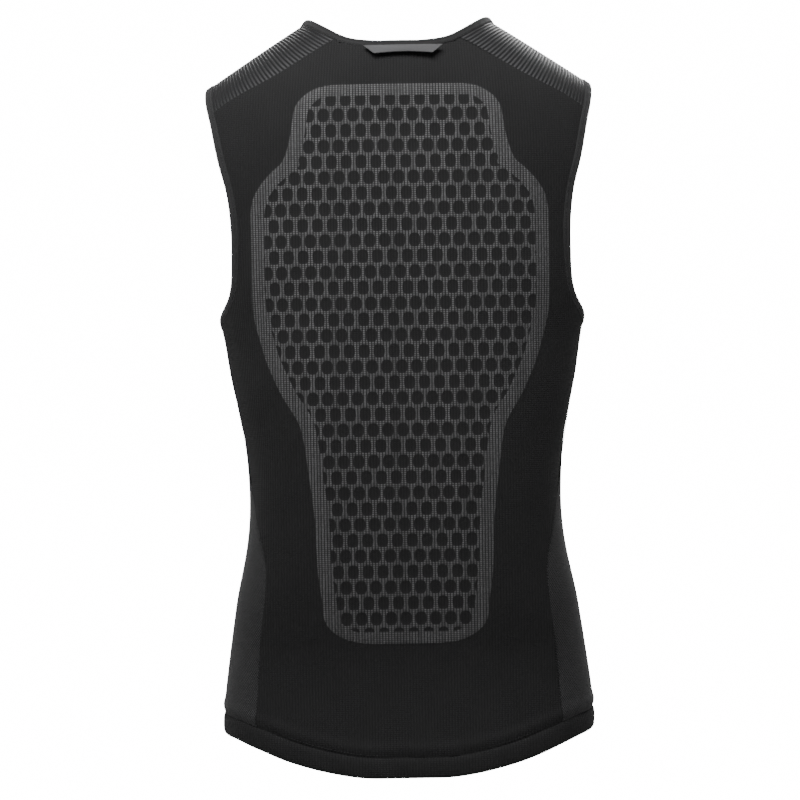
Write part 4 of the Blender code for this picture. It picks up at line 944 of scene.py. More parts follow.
PLAIN_KNIT = plain_knit_material("plain_knit", BARE_KNIT)
front_outer = joined(seams.front_side, seams.arm_front)
front_top = joined(seams.front_yoke[::-1], seams.neck_throat[::-1])
share = np.linspace(0, 1, len(front_outer))[:, None]
front_middle = onto_skin((1 - share) * seams.hem[2][-1] + share * front_top[-1])
front_middle[0], front_middle[-1] = seams.hem[2][-1], front_top[-1]
front_grid = patch(front_outer, front_middle, seams.hem[2], front_top)
front_weave = cloth_weave(front_grid, start=front_grid.shape[1] - 1)
ZIP_EDGE_ROLL = 0.0006


def chest_drape(grid):
    """Soft folds that run from the armhole to the zip, and the turned edge along the zip."""
    x, z = np.abs(grid[..., 0]), grid[..., 2]
    folds = np.sin(46 * z - 30 * x + 0.7) * smooth_step(x, 0.02, 0.09) * smooth_step(z, 0.12, 0.3)
    edge = ZIP_EDGE_ROLL * np.exp(-(((x - ZIP_REVEAL) / 0.003) ** 2))
    return 0.0007 * folds + edge


front_lift = chest_drape(front_grid) + seam_pucker(hem_distance(front_grid))
for side_name, side in (("right", 1.0), ("left", -1.0)):
    turned = front_grid * (side, 1.0, 1.0)
    marks = {"weave": front_weave * (side, 1.0)}
    cloth_panel(f"front_panel_{side_name}_knit", turned, PLAIN_KNIT, [f"front_panel_{side_name}"],
                marks, lift=front_lift)

# ---------------------------------------------------------------------------
# Side panels: an open warp-knit mesh, lighter than the knit, that lets air through. Rows of
# small holes run up it, and a flat seam joins it to the panels on both sides.
# ---------------------------------------------------------------------------

MESH_PITCH = 0.0021
SIDE_MESH_YARN = (0.033, 0.033, 0.034)
SIDE_MESH_HOLE = (0.0075, 0.0075, 0.0078)


def hole_net_effect():
    """Round holes in staggered rows: one in a hole, zero on the net round it."""
    tree, w, given, out = effect(
        "hole_net",
        [("Weave", "NodeSocketVector", None), ("Pitch", "NodeSocketFloat", 0.002),
         ("Tall", "NodeSocketFloat", 1.3), ("Radius", "NodeSocketFloat", 0.3)],
        [("Hole", "NodeSocketFloat")],
    )
    parts = w.node("ShaderNodeSeparateXYZ")
    w.feed(parts.inputs[0], given["Weave"])
    across = w.sum("DIVIDE", parts.outputs[0], given["Pitch"])
    up = w.sum("DIVIDE", parts.outputs[1], w.sum("MULTIPLY", given["Pitch"], given["Tall"]))
    holes = []
    for shift in (0.0, 0.5):
        x = w.sum("SUBTRACT", w.sum("FRACT", w.sum("ADD", across, shift)), 0.5)
        y = w.sum("SUBTRACT", w.sum("FRACT", w.sum("ADD", up, shift)), 0.5)
        square = w.sum("ADD", w.sum("MULTIPLY", x, x), w.sum("MULTIPLY", y, y))
        holes.append(w.sum("SQRT", square))
    near = w.sum("MINIMUM", *holes)
    inner = w.sum("MULTIPLY", given["Radius"], 0.75)
    outer = w.sum("MULTIPLY", given["Radius"], 1.15)
    w.feed(out["Hole"], w.sum("SUBTRACT", 1.0, w.step(near, inner, outer)))
    return tree


HOLE_NET = hole_net_effect()


def net_material(name, yarn, hole, pitch, tall, radius, bump, gloss=0.75):
    material, shader, w = cloth_material(name, gloss, 0.1)
    weave = w.node("ShaderNodeAttribute", attribute_name="weave").outputs["Vector"]
    net = w.group(HOLE_NET, Weave=weave, Pitch=pitch, Tall=tall, Radius=radius)
    shade = w.group(YARN_SHADE, Weave=weave, Amount=0.30)
    colour = w.blend(net.outputs["Hole"], yarn, hole)
    w.feed(shader.inputs["Base Color"], tinted(w, colour, shade.outputs["Factor"]))
    w.feed(shader.inputs["Roughness"], w.sum("MULTIPLY_ADD", net.outputs["Hole"], 0.2, gloss))
    height = w.sum("SUBTRACT", w.sum("MULTIPLY", shade.outputs["Fuzz"], 0.3), net.outputs["Hole"])
    raised(w, shader, height, bump)
    return material


SIDE_MESH = net_material("side_mesh", SIDE_MESH_YARN, SIDE_MESH_HOLE, MESH_PITCH, 1.35, 0.30, 0.0004)
side_grid = patch(seams.back_side, seams.front_side, seams.hem[1], seams.arm_pit)
side_weave = cloth_weave(side_grid)
side_lift = seam_pucker(hem_distance(side_grid))
side_lift = side_lift + 0.0006 * np.sin(58 * side_grid[..., 2] + 20 * side_grid[..., 1])
for side_name, side in (("right", 1.0), ("left", -1.0)):
    cloth_panel(f"side_panel_{side_name}_mesh", side_grid * (side, 1.0, 1.0), SIDE_MESH,
                [f"side_panel_{side_name}"], {"weave": side_weave * (side, 1.0)}, lift=side_lift)

# ---------------------------------------------------------------------------
# Shoulder yokes: glossy ribbed mesh over the shoulders. The ribs run from back to front, and
# their raised lines are part of the cloth.
# ---------------------------------------------------------------------------

RIB_PITCH = 0.00275
RIB_RISE = 0.00032
RIB_YARN = (0.072, 0.072, 0.074)
RIB_GROUND = (0.010, 0.010, 0.0105)
YOKE_ACROSS = 421
YOKE_ALONG = 71


def yoke_material():
    material, shader, w = cloth_material("yoke_rib", 0.42, 0.05)
    weave = w.node("ShaderNodeAttribute", attribute_name="weave").outputs["Vector"]
    crest_shade = w.node("ShaderNodeAttribute", attribute_name="crest_shade").outputs["Fac"]
    parts = w.node("ShaderNodeSeparateXYZ")
    w.feed(parts.inputs[0], weave)
    within_rib = w.sum("FRACT", w.sum("DIVIDE", parts.outputs[0], RIB_PITCH))
    wave = w.sum("ABSOLUTE", w.sum("SUBTRACT", within_rib, 0.5))
    rib = w.sum("SUBTRACT", 1.0, w.step(wave, 0.10, 0.34))
    loops = w.group(KNIT_LOOPS, Weave=weave, Wale=RIB_PITCH / 2, Course=0.0011)
    shade = w.group(YARN_SHADE, Weave=weave, Amount=0.4)
    # The rib colour is darkened in the gaps between the loops: painted shade.
    strength = w.sum("MULTIPLY", rib, w.sum("MULTIPLY_ADD", loops.outputs["GapShade"], -0.35, 1.0))
    # The ribs fade to the dark ground over the shoulder crest: painted shade.
    strength = w.sum("MULTIPLY", strength, w.sum("MULTIPLY_ADD", crest_shade, -0.93, 1.0))
    colour = w.blend(strength, RIB_GROUND, RIB_YARN)
    w.feed(shader.inputs["Base Color"], tinted(w, colour, shade.outputs["Factor"]))
    w.feed(shader.inputs["Roughness"], w.sum("MULTIPLY_ADD", rib, -0.25, 0.62))
    raised(w, shader, w.sum("MULTIPLY_ADD", loops.outputs["Height"], 0.3, rib), 0.0004)
    return material


def fine_yoke():
    """The yoke's grid, fine enough across its ribs: rows run from front to back."""
    front, back = (onto_skin(evenly(c, YOKE_ACROSS)) for c in (seams.front_yoke, seams.back_yoke))
    neck, arm = (onto_skin(evenly(c, YOKE_ALONG)) for c in (seams.neck_shoulder, seams.arm_shoulder))
    neck[0], neck[-1], arm[0], arm[-1] = front[0], back[0], front[-1], back[-1]
    return patch(neck, arm, front, back)


YOKE_RIB = yoke_material()
yoke_grid = fine_yoke()
yoke_steps = np.linalg.norm(np.diff(yoke_grid, axis=1), axis=-1)
yoke_across = np.concatenate((np.zeros((YOKE_ALONG, 1)), np.cumsum(yoke_steps, axis=1)), axis=1)
middle_row = yoke_across[YOKE_ALONG // 2]
yoke_weave = np.stack((np.broadcast_to(middle_row, yoke_across.shape), yoke_grid[..., 1]), axis=-1)
rib_wave = 0.5 + 0.5 * np.cos(2 * math.pi * (yoke_weave[..., 0] / RIB_PITCH - 0.5))
yoke_lift = RIB_RISE * rib_wave - 0.0002
# Painted shade over the shoulder crest: full within 42 mm of it, and gone beyond 80 mm.
yoke_crest_shade = 1 - smooth_step(np.abs(yoke_grid[..., 1]), 0.042, 0.080)
for side_name, side in (("right", 1.0), ("left", -1.0)):
    cloth_panel(f"shoulder_yoke_{side_name}_rib", yoke_grid * (side, 1.0, 1.0), YOKE_RIB,
                [f"shoulder_yoke_{side_name}"], {"weave": yoke_weave, "crest_shade": yoke_crest_shade}, lift=yoke_lift)

# ---------------------------------------------------------------------------
# Bindings: a stretch tape folded over the cut edges of the neck and the armholes, and sewn
# through with one line of stitches along its inner edge.
# ---------------------------------------------------------------------------

BINDING_TAPE = (0.0190, 0.0190, 0.0194)
THREAD = (0.011, 0.011, 0.0115)
BINDING_CROWN = 0.0009      # how far the fold stands out of the panels
NECK_CROWN = 0.0005
NECK_UPRIGHT = 0.8          # the neck tape stands up from the sloping shoulders
BINDING_LAP = 0.0006        # how far it reaches over its seam
STITCH_PITCH = 0.0029
STITCH_LENGTH = 0.0021
THREAD_RADIUS = 0.00026


def twill_material(name, colour, wale, course, roughness=0.8, bump=0.00022, gap_shade_amount=0.35):
    material, shader, w = cloth_material(name, roughness, 0.12)
    weave = w.node("ShaderNodeAttribute", attribute_name="weave").outputs["Vector"]
    loops = w.group(KNIT_LOOPS, Weave=weave, Wale=wale, Course=course)
    shade = w.group(YARN_SHADE, Weave=weave, Amount=0.25)
    # Painted shade in the gaps between the loops.
    factor = w.sum("MULTIPLY", shade.outputs["Factor"],
                   w.sum("MULTIPLY_ADD", loops.outputs["GapShade"], -gap_shade_amount, 1.0))
    tint = w.node("ShaderNodeRGB")
    tint.outputs[0].default_value = (*colour, 1.0)
    w.feed(shader.inputs["Base Color"], tinted(w, tint.outputs[0], factor))
    dullness = w.sum("MULTIPLY_ADD", loops.outputs["Height"], -0.10, roughness + 0.05)
    w.feed(shader.inputs["Roughness"], dullness)
    raised(w, shader, w.sum("MULTIPLY_ADD", shade.outputs["Fuzz"], 0.3, loops.outputs["Height"]), bump)
    return material


def thread_material():
    material, shader, w = cloth_material("thread", 0.55, 0.1)
    place = w.node("ShaderNodeTexCoord").outputs["Object"]
    twist = w.node("ShaderNodeTexWave", bands_direction="DIAGONAL")
    w.feed(twist.inputs["Vector"], place)
    w.feed(twist.inputs["Scale"], 900.0)
    colour = w.blend(twist.outputs["Fac"], THREAD, tuple(2.1 * c for c in THREAD))
    w.feed(shader.inputs["Base Color"], colour)
    w.feed(shader.inputs["Roughness"], w.sum("MULTIPLY_ADD", twist.outputs["Fac"], 0.2, 0.45))
    return material


TAPE_TWILL = twill_material("binding_tape", BINDING_TAPE, 0.0016, 0.0013)
THREAD_FINISH = thread_material()


def tape_directions(seam, closed, upright):
    """Across the tape and out of it; an upright tape stands more steeply than the panels."""
    normal = outward(seam)
    ahead = directions(seam, closed)
    left = np.cross(normal, ahead) + np.array((0.0, 0.0, upright))
    left -= ahead * np.sum(left * ahead, axis=1, keepdims=True)
    left /= np.linalg.norm(left, axis=1, keepdims=True)
    return left, np.cross(ahead, left)


def folded_tape(name, seam, width, closed, nodes, crown=BINDING_CROWN, upright=0.0):
    """A folded tape with a rounded outer edge; it lies to the left of its seam."""
    left, normal = tape_directions(seam, closed, upright)
    half = BINDING_THICKNESS / 2 + 0.0002
    centre = crown - half
    profile = []
    for t in np.linspace(0.0, 2 * math.pi, 22, endpoint=False):
        c, s = math.cos(t), math.sin(t)
        power = 0.55
        w_at = math.copysign(abs(c) ** power, c)
        h_at = math.copysign(abs(s) ** power, s)
        profile.append((width * (0.5 + 0.5 * w_at) - BINDING_LAP * (0.5 - 0.5 * w_at), centre + half * h_at))
    run = lengths_along(seam)
    pucker = 1 + 0.05 * np.sin(2 * math.pi * run / 0.0116) + 0.03 * np.sin(2 * math.pi * run / 0.0413 + 1)
    rings = []
    for w_at, h_at in profile:
        rise = np.where(h_at > centre, (h_at - centre) * pucker + centre, h_at)
        dip = 0.0005 * math.exp(-(((w_at - 0.0013) / 0.0007) ** 2)) if h_at > centre else 0.0
        rings.append(seam + left * w_at + normal * (rise - dip)[:, None])
    points = np.stack(rings, axis=1)
    rows, columns = points.shape[:2]
    index = np.arange(rows * columns).reshape(rows, columns)
    around = np.roll(index, -1, axis=1)
    low, high = (index, np.roll(index, -1, axis=0)) if closed else (index[:-1], index[1:])
    low_next, high_next = (around, np.roll(around, -1, axis=0)) if closed else (around[:-1], around[1:])
    faces = np.stack((low, low_next, high_next, high), axis=-1).reshape(-1, 4).tolist()
    if not closed:
        faces.append(index[0].tolist())
        faces.append(index[-1].tolist())
    girth = np.linspace(0.0, 2 * (width + BINDING_THICKNESS), columns)
    weave = np.stack(np.broadcast_arrays(girth[None, :], run[:, None]), axis=-1).reshape(-1, 2)
    return place_piece(name, points.reshape(-1, 3), faces, TAPE_TWILL, "root", nodes,
                       {"weave": weave}, sharp=70.0)


def sewn_line(name, curve, normal, slot, pitch=STITCH_PITCH, length=STITCH_LENGTH, radius=THREAD_RADIUS,
              body="root", tilt=0.0):
    """A row of single thread stitches along a curve, each a small rounded bar lying on the cloth."""
    run = lengths_along(curve)
    count = max(2, int(run[-1] / pitch))
    where = (np.arange(count) + 0.5) * run[-1] / count
    centre = np.stack([np.interp(where, run, curve[:, k]) for k in range(3)], axis=-1)
    up = np.stack([np.interp(where, run, normal[:, k]) for k in range(3)], axis=-1)
    ahead = directions(curve)
    ahead = np.stack([np.interp(where, run, ahead[:, k]) for k in range(3)], axis=-1)
    side = np.cross(up, ahead)
    if tilt:
        ahead = ahead * math.cos(tilt) + side * math.sin(tilt)
        side = np.cross(up, ahead)
    stations = ((-0.5, 0.35, -0.5), (-0.28, 0.95, 0.15), (0.28, 0.95, 0.15), (0.5, 0.35, -0.5))
    points, faces = [], []
    sides = 6
    for k in range(count):
        base = len(points)
        for along, wide, lift in stations:
            for j in range(sides):
                angle = 2 * math.pi * j / sides
                out = side[k] * math.cos(angle) + up[k] * math.sin(angle)
                sideways = out * wide * radius + up[k] * lift * radius
                points.append(centre[k] + ahead[k] * along * length + sideways)
        for i in range(len(stations) - 1):
            for j in range(sides):
                a = base + i * sides + j
                b = base + i * sides + (j + 1) % sides
                faces.append((a, b, b + sides, a + sides))
        faces.append(tuple(base + j for j in range(sides)))
        faces.append(tuple(base + (len(stations) - 1) * sides + j for j in range(sides)))
    return place_piece(name, points, faces, THREAD_FINISH, body, sharp=80.0)


def on_binding(seam, inset_by, closed=False, crown=BINDING_CROWN, upright=0.0):
    left, normal = tape_directions(seam, closed, upright)
    return seam + left * inset_by + normal * (crown - 0.0002), normal


neck_line = joined(seams.neck_nape[::-1], seams.neck_shoulder[::-1], seams.neck_throat[::-1])
neck_seam = both_halves(neck_line)
folded_tape("neck_binding_tape", neck_seam, NECK_BINDING_WIDTH, False, ["neck_binding"],
            NECK_CROWN, NECK_UPRIGHT)
sewn_line("neck_binding_stitches", *on_binding(neck_seam, 0.0010, False, NECK_CROWN, NECK_UPRIGHT), "binding")
arm_seam = joined(seams.arm_shoulder, seams.arm_back, seams.arm_pit, seams.arm_front)[:-1]
for side_name, seam in (("right", arm_seam), ("left", mirrored(arm_seam)[::-1])):
    folded_tape(f"armhole_binding_{side_name}_tape", seam, ARMHOLE_BINDING_WIDTH, True,
                [f"armhole_binding_{side_name}"])
    sewn_line(f"armhole_binding_{side_name}_stitches", *on_binding(seam, 0.0014, True), "binding")

# ---------------------------------------------------------------------------
# Hem bands: the lower edge turned up and sewn flat in five sections, with a groove where its
# seam draws it in and two lines of needle stitches.
# ---------------------------------------------------------------------------

HEM_ROWS = 15
HEM_FULLNESS = 0.0011


def hem_grid(low, high):
    rows = np.linspace(0, 1, HEM_ROWS)[:, None, None]
    grid = onto_skin((1 - rows) * low[None] + rows * high[None])
    grid[0], grid[-1] = low, high
    return grid


def hem_lift(grid):
    """Full between its seam and its fold, rounded over at the fold."""
    up = np.linspace(0, 1, HEM_ROWS)[:, None]
    full = HEM_FULLNESS * np.sin(math.pi * up) ** 0.7
    fold = -0.0010 * np.exp(-((up / 0.06) ** 2))
    pinch = -HEM_PINCH * np.exp(-(((1 - up) / 0.12) ** 2))
    x = grid[..., 0]
    return full + fold + pinch + 0.00025 * np.sin(210 * x + 3 * up)


# The band is the same knit turned up, painted darker at 0.92 of its colour: painted shade on the hem.
SHADED_HEM_KNIT = plain_knit_material("hem_knit_painted_shade", tuple(0.92 * c for c in BARE_KNIT))
bands = [("back", both_halves(seams.hem_low[0]), both_halves(seams.hem[0]))]
for side_name, turn in (("right", np.asarray), ("left", mirrored)):
    bands.append((f"side_{side_name}", turn(seams.hem_low[1]), turn(seams.hem[1])))
    bands.append((f"front_{side_name}", turn(seams.hem_low[2]), turn(seams.hem[2])))
for band_name, low, high in bands:
    grid = hem_grid(low, high)
    cloth_panel(f"hem_band_{band_name}_knit", grid, SHADED_HEM_KNIT, [f"hem_band_{band_name}"],
                {"weave": cloth_weave(grid)}, HEM_THICKNESS, hem_lift(grid), proud=0.0002)
    for line, above in (("upper", 0.0034), ("lower", 0.0)):
        curve = onto_skin(high + (high - low) * (above - 0.0012) / HEM_BAND_WIDTH)
        normal = outward(curve)
        sewn_line(f"hem_{band_name}_{line}_stitches", curve - normal * 0.0003, normal, "knit")

# ---------------------------------------------------------------------------
# Flat seams down the sides: the cut edges meet and a cover stitch crosses them.
# ---------------------------------------------------------------------------

COVER_WIDTH = 0.0022


def cover_stitch(name, seam, slot):
    normal = outward(seam)
    lifted = seam - normal * 0.0001
    sewn_line(name, lifted, normal, slot, pitch=0.0024, length=COVER_WIDTH * 1.5, tilt=math.radians(62))


for side_name, turn in (("right", np.asarray), ("left", mirrored)):
    cover_stitch(f"back_side_seam_{side_name}", turn(seams.back_side), "knit")
    cover_stitch(f"front_side_seam_{side_name}", turn(seams.front_side), "knit")
    cover_stitch(f"back_yoke_seam_{side_name}", turn(seams.back_yoke), "knit")
    cover_stitch(f"front_yoke_seam_{side_name}", turn(seams.front_yoke), "knit")

# ---------------------------------------------------------------------------
# Hanging loop: a lighter grey woven tape with its ends folded at 45 degrees and sewn under the
# neck binding; its lower edge bows up in the middle, and it turns on its sewn line.
# ---------------------------------------------------------------------------

LOOP_GREY = (0.074, 0.074, 0.076)
LOOP_TOP_WIDTH = 0.071
LOOP_BOTTOM_WIDTH = 0.052
LOOP_HEIGHT = 0.0102
LOOP_STANDOFF = 0.0034
LOOP_THICKNESS = 0.0012
LOOP_BOW = 0.0016
LOOP_OFF_CENTRE = 0.0050    # the one in hand is sewn a little to the wearer's right


def hanging_loop():
    edge = seams.neck_nape[-1:]
    normal = outward(edge)[0]
    axis_out = 0.0006 + TOUCH_GAP + LOOP_THICKNESS / 2
    origin = edge[0] + normal * axis_out + np.array((LOOP_OFF_CENTRE, 0.0, 0.0))
    down = np.array((0.0, -normal[2], normal[1]))
    down = down if down[2] < 0 else -down
    rows, columns = 13, 97
    t = np.linspace(0, 1, rows)[:, None]
    s = np.linspace(-1, 1, columns)[None, :]
    wide = between(LOOP_TOP_WIDTH, LOOP_BOTTOM_WIDTH, t) / 2
    x = wide * s
    drop = LOOP_HEIGHT * t * (1 - (LOOP_BOW / LOOP_HEIGHT) * (1 - s**2) * t)
    ends = 1 - smooth_step(wide - np.abs(x), 0.0, 0.010)
    out = (LOOP_STANDOFF - axis_out) * (0.25 + 0.75 * t) * (1 - 0.55 * ends * (1 - t))
    out = out + 0.0010 * np.sin(math.pi * t) * (1 - s**2)
    face = origin + x[..., None] * np.array((1.0, 0.0, 0.0)) + drop[..., None] * down
    outer = face + (out + LOOP_THICKNESS * 0.8)[..., None] * normal
    inner = face + (out * np.ones_like(x))[..., None] * normal
    points = np.concatenate((outer.reshape(-1, 3), inner.reshape(-1, 3)))
    weave = np.stack(np.broadcast_arrays(drop, x), axis=-1).reshape(-1, 2)
    item = place_piece("hanging_loop_tape", points, slab_faces(rows, columns), LOOP_TWILL, "loop",
                       ["hanging_loop"], {"weave": np.concatenate((weave, weave))})
    bevel = item.modifiers.new("soft_edges", "BEVEL")
    bevel.width = 0.0003
    bevel.segments = 2
    bevel.limit_method = "ANGLE"
    # The folded-back ends go in behind the tape, up to the seam.
    for side_name, side in (("right", 1.0), ("left", -1.0)):
        u = np.linspace(0, 1, 9)[:, None]
        v = np.linspace(0, 1, 7)[None, :]
        fold_drop = 0.0002 + 0.0060 * u * (1 - 0.3 * v)
        within = between(LOOP_TOP_WIDTH, LOOP_BOTTOM_WIDTH, fold_drop / LOOP_HEIGHT) / 2 - 0.0012
        fold_x = side * (within - 0.0085 * v)
        fold_out = (LOOP_STANDOFF - axis_out) * (0.15 + 0.55 * u) - 0.0002
        base = origin + fold_x[..., None] * np.array((1.0, 0, 0)) + fold_drop[..., None] * down
        outer = base + (fold_out + 0 * v)[..., None] * normal
        inner = base + (fold_out - 0.0008 + 0 * v)[..., None] * normal
        points = np.concatenate((outer.reshape(-1, 3), inner.reshape(-1, 3)))
        weave = np.stack(np.broadcast_arrays(fold_drop, fold_x), axis=-1).reshape(-1, 2)
        end = place_piece(f"hanging_loop_end_{side_name}", points, slab_faces(9, 7), LOOP_TWILL,
                          "loop", (), {"weave": np.concatenate((weave, weave))})


LOOP_TWILL = twill_material("loop_tape", LOOP_GREY, 0.0011, 0.0011, 0.7, 0.00018, 0.25)
hanging_loop()

# ---------------------------------------------------------------------------
# Pad: a firm outer layer and a soft inner layer of foam, both curved to the back and pierced
# with staggered holes for air; they slide in the pocket as one. A woven tab pulls them out.
# ---------------------------------------------------------------------------

PAD_HALF_WIDTH = 0.118
PAD_TOP_LEVEL = NECK_LEVEL - 0.068
PAD_BOTTOM_LEVEL = 0.137
PAD_SHOULDER_HALF = 0.093
PAD_WAIST_HALF = 0.071
PAD_FOOT_HALF = 0.062
PAD_SPREAD_RADIUS = 0.380
PAD_OUTER_THICKNESS = 0.0070
PAD_INNER_THICKNESS = 0.0050
PAD_CLEARANCE = 0.0020
PAD_DEPTH = PANEL_THICKNESS + PAD_CLEARANCE
PAD_THICKNESS = PAD_OUTER_THICKNESS + TOUCH_GAP + PAD_INNER_THICKNESS
LINER_DEPTH = PAD_DEPTH + PAD_THICKNESS + PAD_CLEARANCE
PAD_LENGTH = PAD_TOP_LEVEL - PAD_BOTTOM_LEVEL
PAD_WIDEST_LEVEL = PAD_BOTTOM_LEVEL + 0.65 * PAD_LENGTH
FIRM_FOAM = (0.030, 0.032, 0.035)
SOFT_FOAM = (0.105, 0.107, 0.112)
HOLE_PITCH = 0.0130
HOLE_RADIUS = 0.0026
HOLE_DEPTH = 0.0022
FOAM_EDGE = 0.0022
pad_half_width = smooth_curve(
    (
        (PAD_BOTTOM_LEVEL, 0.70 * PAD_FOOT_HALF),
        (PAD_BOTTOM_LEVEL + 0.006, 0.90 * PAD_FOOT_HALF),
        (PAD_BOTTOM_LEVEL + 0.020, PAD_FOOT_HALF),
        (PAD_BOTTOM_LEVEL + 0.28 * PAD_LENGTH, PAD_WAIST_HALF),
        (PAD_BOTTOM_LEVEL + 0.42 * PAD_LENGTH, PAD_WAIST_HALF + 0.22 * (PAD_HALF_WIDTH - PAD_WAIST_HALF)),
        (PAD_WIDEST_LEVEL, PAD_HALF_WIDTH),
        (PAD_BOTTOM_LEVEL + 0.80 * PAD_LENGTH, PAD_HALF_WIDTH - 0.004),
        (PAD_BOTTOM_LEVEL + 0.88 * PAD_LENGTH, PAD_SHOULDER_HALF + 0.003),
        (PAD_TOP_LEVEL - 0.020, PAD_SHOULDER_HALF - 0.002),
        (PAD_TOP_LEVEL - 0.006, 0.90 * PAD_SHOULDER_HALF),
        (PAD_TOP_LEVEL, 0.70 * PAD_SHOULDER_HALF),
    )
)


def arc_points(x, level, depth_in):
    """Points a given depth inside the back arc; the pad turns about the arc's centre line."""
    turn = np.arcsin((level - BACK_ARC_LEVEL) / BACK_ARC_RADIUS)
    radius = BACK_ARC_RADIUS - depth_in - np.square(x) / (2 * PAD_SPREAD_RADIUS)
    y = BACK_ARC_RADIUS - BACK_DEPTH - radius * np.cos(turn)
    z = BACK_ARC_LEVEL + radius * np.sin(turn)
    return np.stack(np.broadcast_arrays(x, y, z), axis=-1)


def foam_material(name, colour, grain, roughness):
    material, shader, w = cloth_material(name, roughness, 0.0)
    place = w.node("ShaderNodeTexCoord").outputs["Object"]
    hole_dent_and_shade = w.node("ShaderNodeAttribute", attribute_name="hole_dent_and_shade").outputs["Fac"]
    cells = w.node("ShaderNodeTexVoronoi")
    w.feed(cells.inputs["Vector"], place)
    w.feed(cells.inputs["Scale"], grain)
    cloudy = w.node("ShaderNodeTexNoise")
    w.feed(cloudy.inputs["Vector"], place)
    w.feed(cloudy.inputs["Scale"], 22.0)
    w.feed(cloudy.inputs["Detail"], 4.0)
    factor = w.sum("MULTIPLY_ADD", cells.outputs["Distance"], 0.45, 0.70)
    factor = w.sum("MULTIPLY", factor, w.sum("MULTIPLY_ADD", cloudy.outputs[0], 0.3, 0.85))
    # The holes are painted darker: painted shade in the dents.
    factor = w.sum("MULTIPLY", factor, w.sum("MULTIPLY_ADD", hole_dent_and_shade, -0.80, 1.0))
    tint = w.node("ShaderNodeRGB")
    tint.outputs[0].default_value = (*colour, 1.0)
    w.feed(shader.inputs["Base Color"], tinted(w, tint.outputs[0], factor))
    w.feed(shader.inputs["Roughness"], w.sum("MULTIPLY_ADD", cells.outputs["Distance"], 0.15, roughness))
    raised(w, shader, cells.outputs["Distance"], 0.00025)
    return material


def foam_layer(name, node, material, depth_in, thickness, edge_in):
    rows, columns = 321, 165
    part = np.linspace(0, 1, rows)
    levels = PAD_BOTTOM_LEVEL + PAD_LENGTH * (part - 0.55 * np.sin(2 * math.pi * part) / (2 * math.pi))
    levels = levels[:, None]
    across = np.linspace(-1, 1, columns)[None, :]
    across = np.sign(across) * (1 - (1 - np.abs(across)) ** 1.15)
    half = pad_half_width(levels) - edge_in
    x = half * across
    rim = np.minimum(half - np.abs(x), np.minimum(levels - PAD_BOTTOM_LEVEL, PAD_TOP_LEVEL - levels))
    rim = np.clip(rim, 0.0, FOAM_EDGE)
    rounding = FOAM_EDGE - np.sqrt(np.maximum(FOAM_EDGE**2 - (FOAM_EDGE - rim) ** 2, 0.0))
    row_height = HOLE_PITCH * math.sqrt(0.75)
    row = np.round((levels - PAD_WIDEST_LEVEL) / row_height)
    shift = np.mod(row, 2) * HOLE_PITCH / 2
    hole_x = np.mod(x + shift + HOLE_PITCH / 2, HOLE_PITCH) - HOLE_PITCH / 2
    hole_z = levels - PAD_WIDEST_LEVEL - row * row_height
    far = np.sqrt(hole_x**2 + hole_z**2)
    # This mask dents the holes into the foam and also carries their painted shade to the material.
    hole_dent_and_shade = (1 - smooth_step(far, HOLE_RADIUS * 0.72, HOLE_RADIUS * 1.15))
    hole_dent_and_shade = hole_dent_and_shade * smooth_step(half - np.abs(x), 0.004, 0.008)
    hole_dent_and_shade = hole_dent_and_shade * smooth_step(np.minimum(levels - PAD_BOTTOM_LEVEL, PAD_TOP_LEVEL - levels), 0.004, 0.008)
    outer = arc_points(x, levels, depth_in + 0.45 * rounding + HOLE_DEPTH * hole_dent_and_shade)
    inner = arc_points(x, levels, depth_in + thickness - 0.45 * rounding - 0.6 * HOLE_DEPTH * hole_dent_and_shade)
    points = np.concatenate((outer.reshape(-1, 3), inner.reshape(-1, 3)))
    marks = {"hole_dent_and_shade": np.concatenate((hole_dent_and_shade.ravel(), hole_dent_and_shade.ravel()))}
    faces = slab_faces(rows, columns)
    item = place_piece(name, points, faces, material, "pad", [node], marks, sharp=60.0)
    return item


FIRM = foam_material("firm_foam", FIRM_FOAM, 2600.0, 0.72)
SOFT = foam_material("soft_foam", SOFT_FOAM, 1900.0, 0.84)
foam_layer("pad_outer_foam", "pad_outer_layer", FIRM, PAD_DEPTH, PAD_OUTER_THICKNESS, 0.0)
foam_layer("pad_inner_foam", "pad_inner_layer", SOFT,
           PAD_DEPTH + PAD_OUTER_THICKNESS + TOUCH_GAP, PAD_INNER_THICKNESS, 0.003)

PULL_TAB_HALF_WIDTH = 0.012
PULL_TAB_LENGTH = 0.020
PULL_TAB_THICKNESS = 0.0012


def pull_tab():
    rows, columns = 25, 17
    across = np.linspace(-1, 1, columns)[None, :] * PULL_TAB_HALF_WIDTH
    part = np.linspace(0, 1, rows)[:, None]
    top = PAD_BOTTOM_LEVEL - TOUCH_GAP
    levels = top - PULL_TAB_LENGTH * (1 - part)
    x = across * (1 - 0.10 * (1 - part) ** 6)
    middle = PAD_DEPTH + PAD_OUTER_THICKNESS - PULL_TAB_THICKNESS / 2
    wave = 0.0003 * np.sin(5 * part) * np.ones_like(x)
    outer = arc_points(x, levels, middle + wave)
    inner = arc_points(x, levels, middle + wave + PULL_TAB_THICKNESS)
    points = np.concatenate((outer.reshape(-1, 3), inner.reshape(-1, 3)))
    weave = np.stack(np.broadcast_arrays(x, levels), axis=-1).reshape(-1, 2)
    item = place_piece("pad_pull_tab_tape", points, slab_faces(rows, columns), LOOP_TWILL, "pad",
                       ["pad_pull_tab"], {"weave": np.concatenate((weave, weave))})


pull_tab()

# ---------------------------------------------------------------------------
# Pocket: a tray of fine net lining sewn inside the back panel, open at its lower edge, and a
# flap there that holds to the panel with hook and loop strips.
# ---------------------------------------------------------------------------

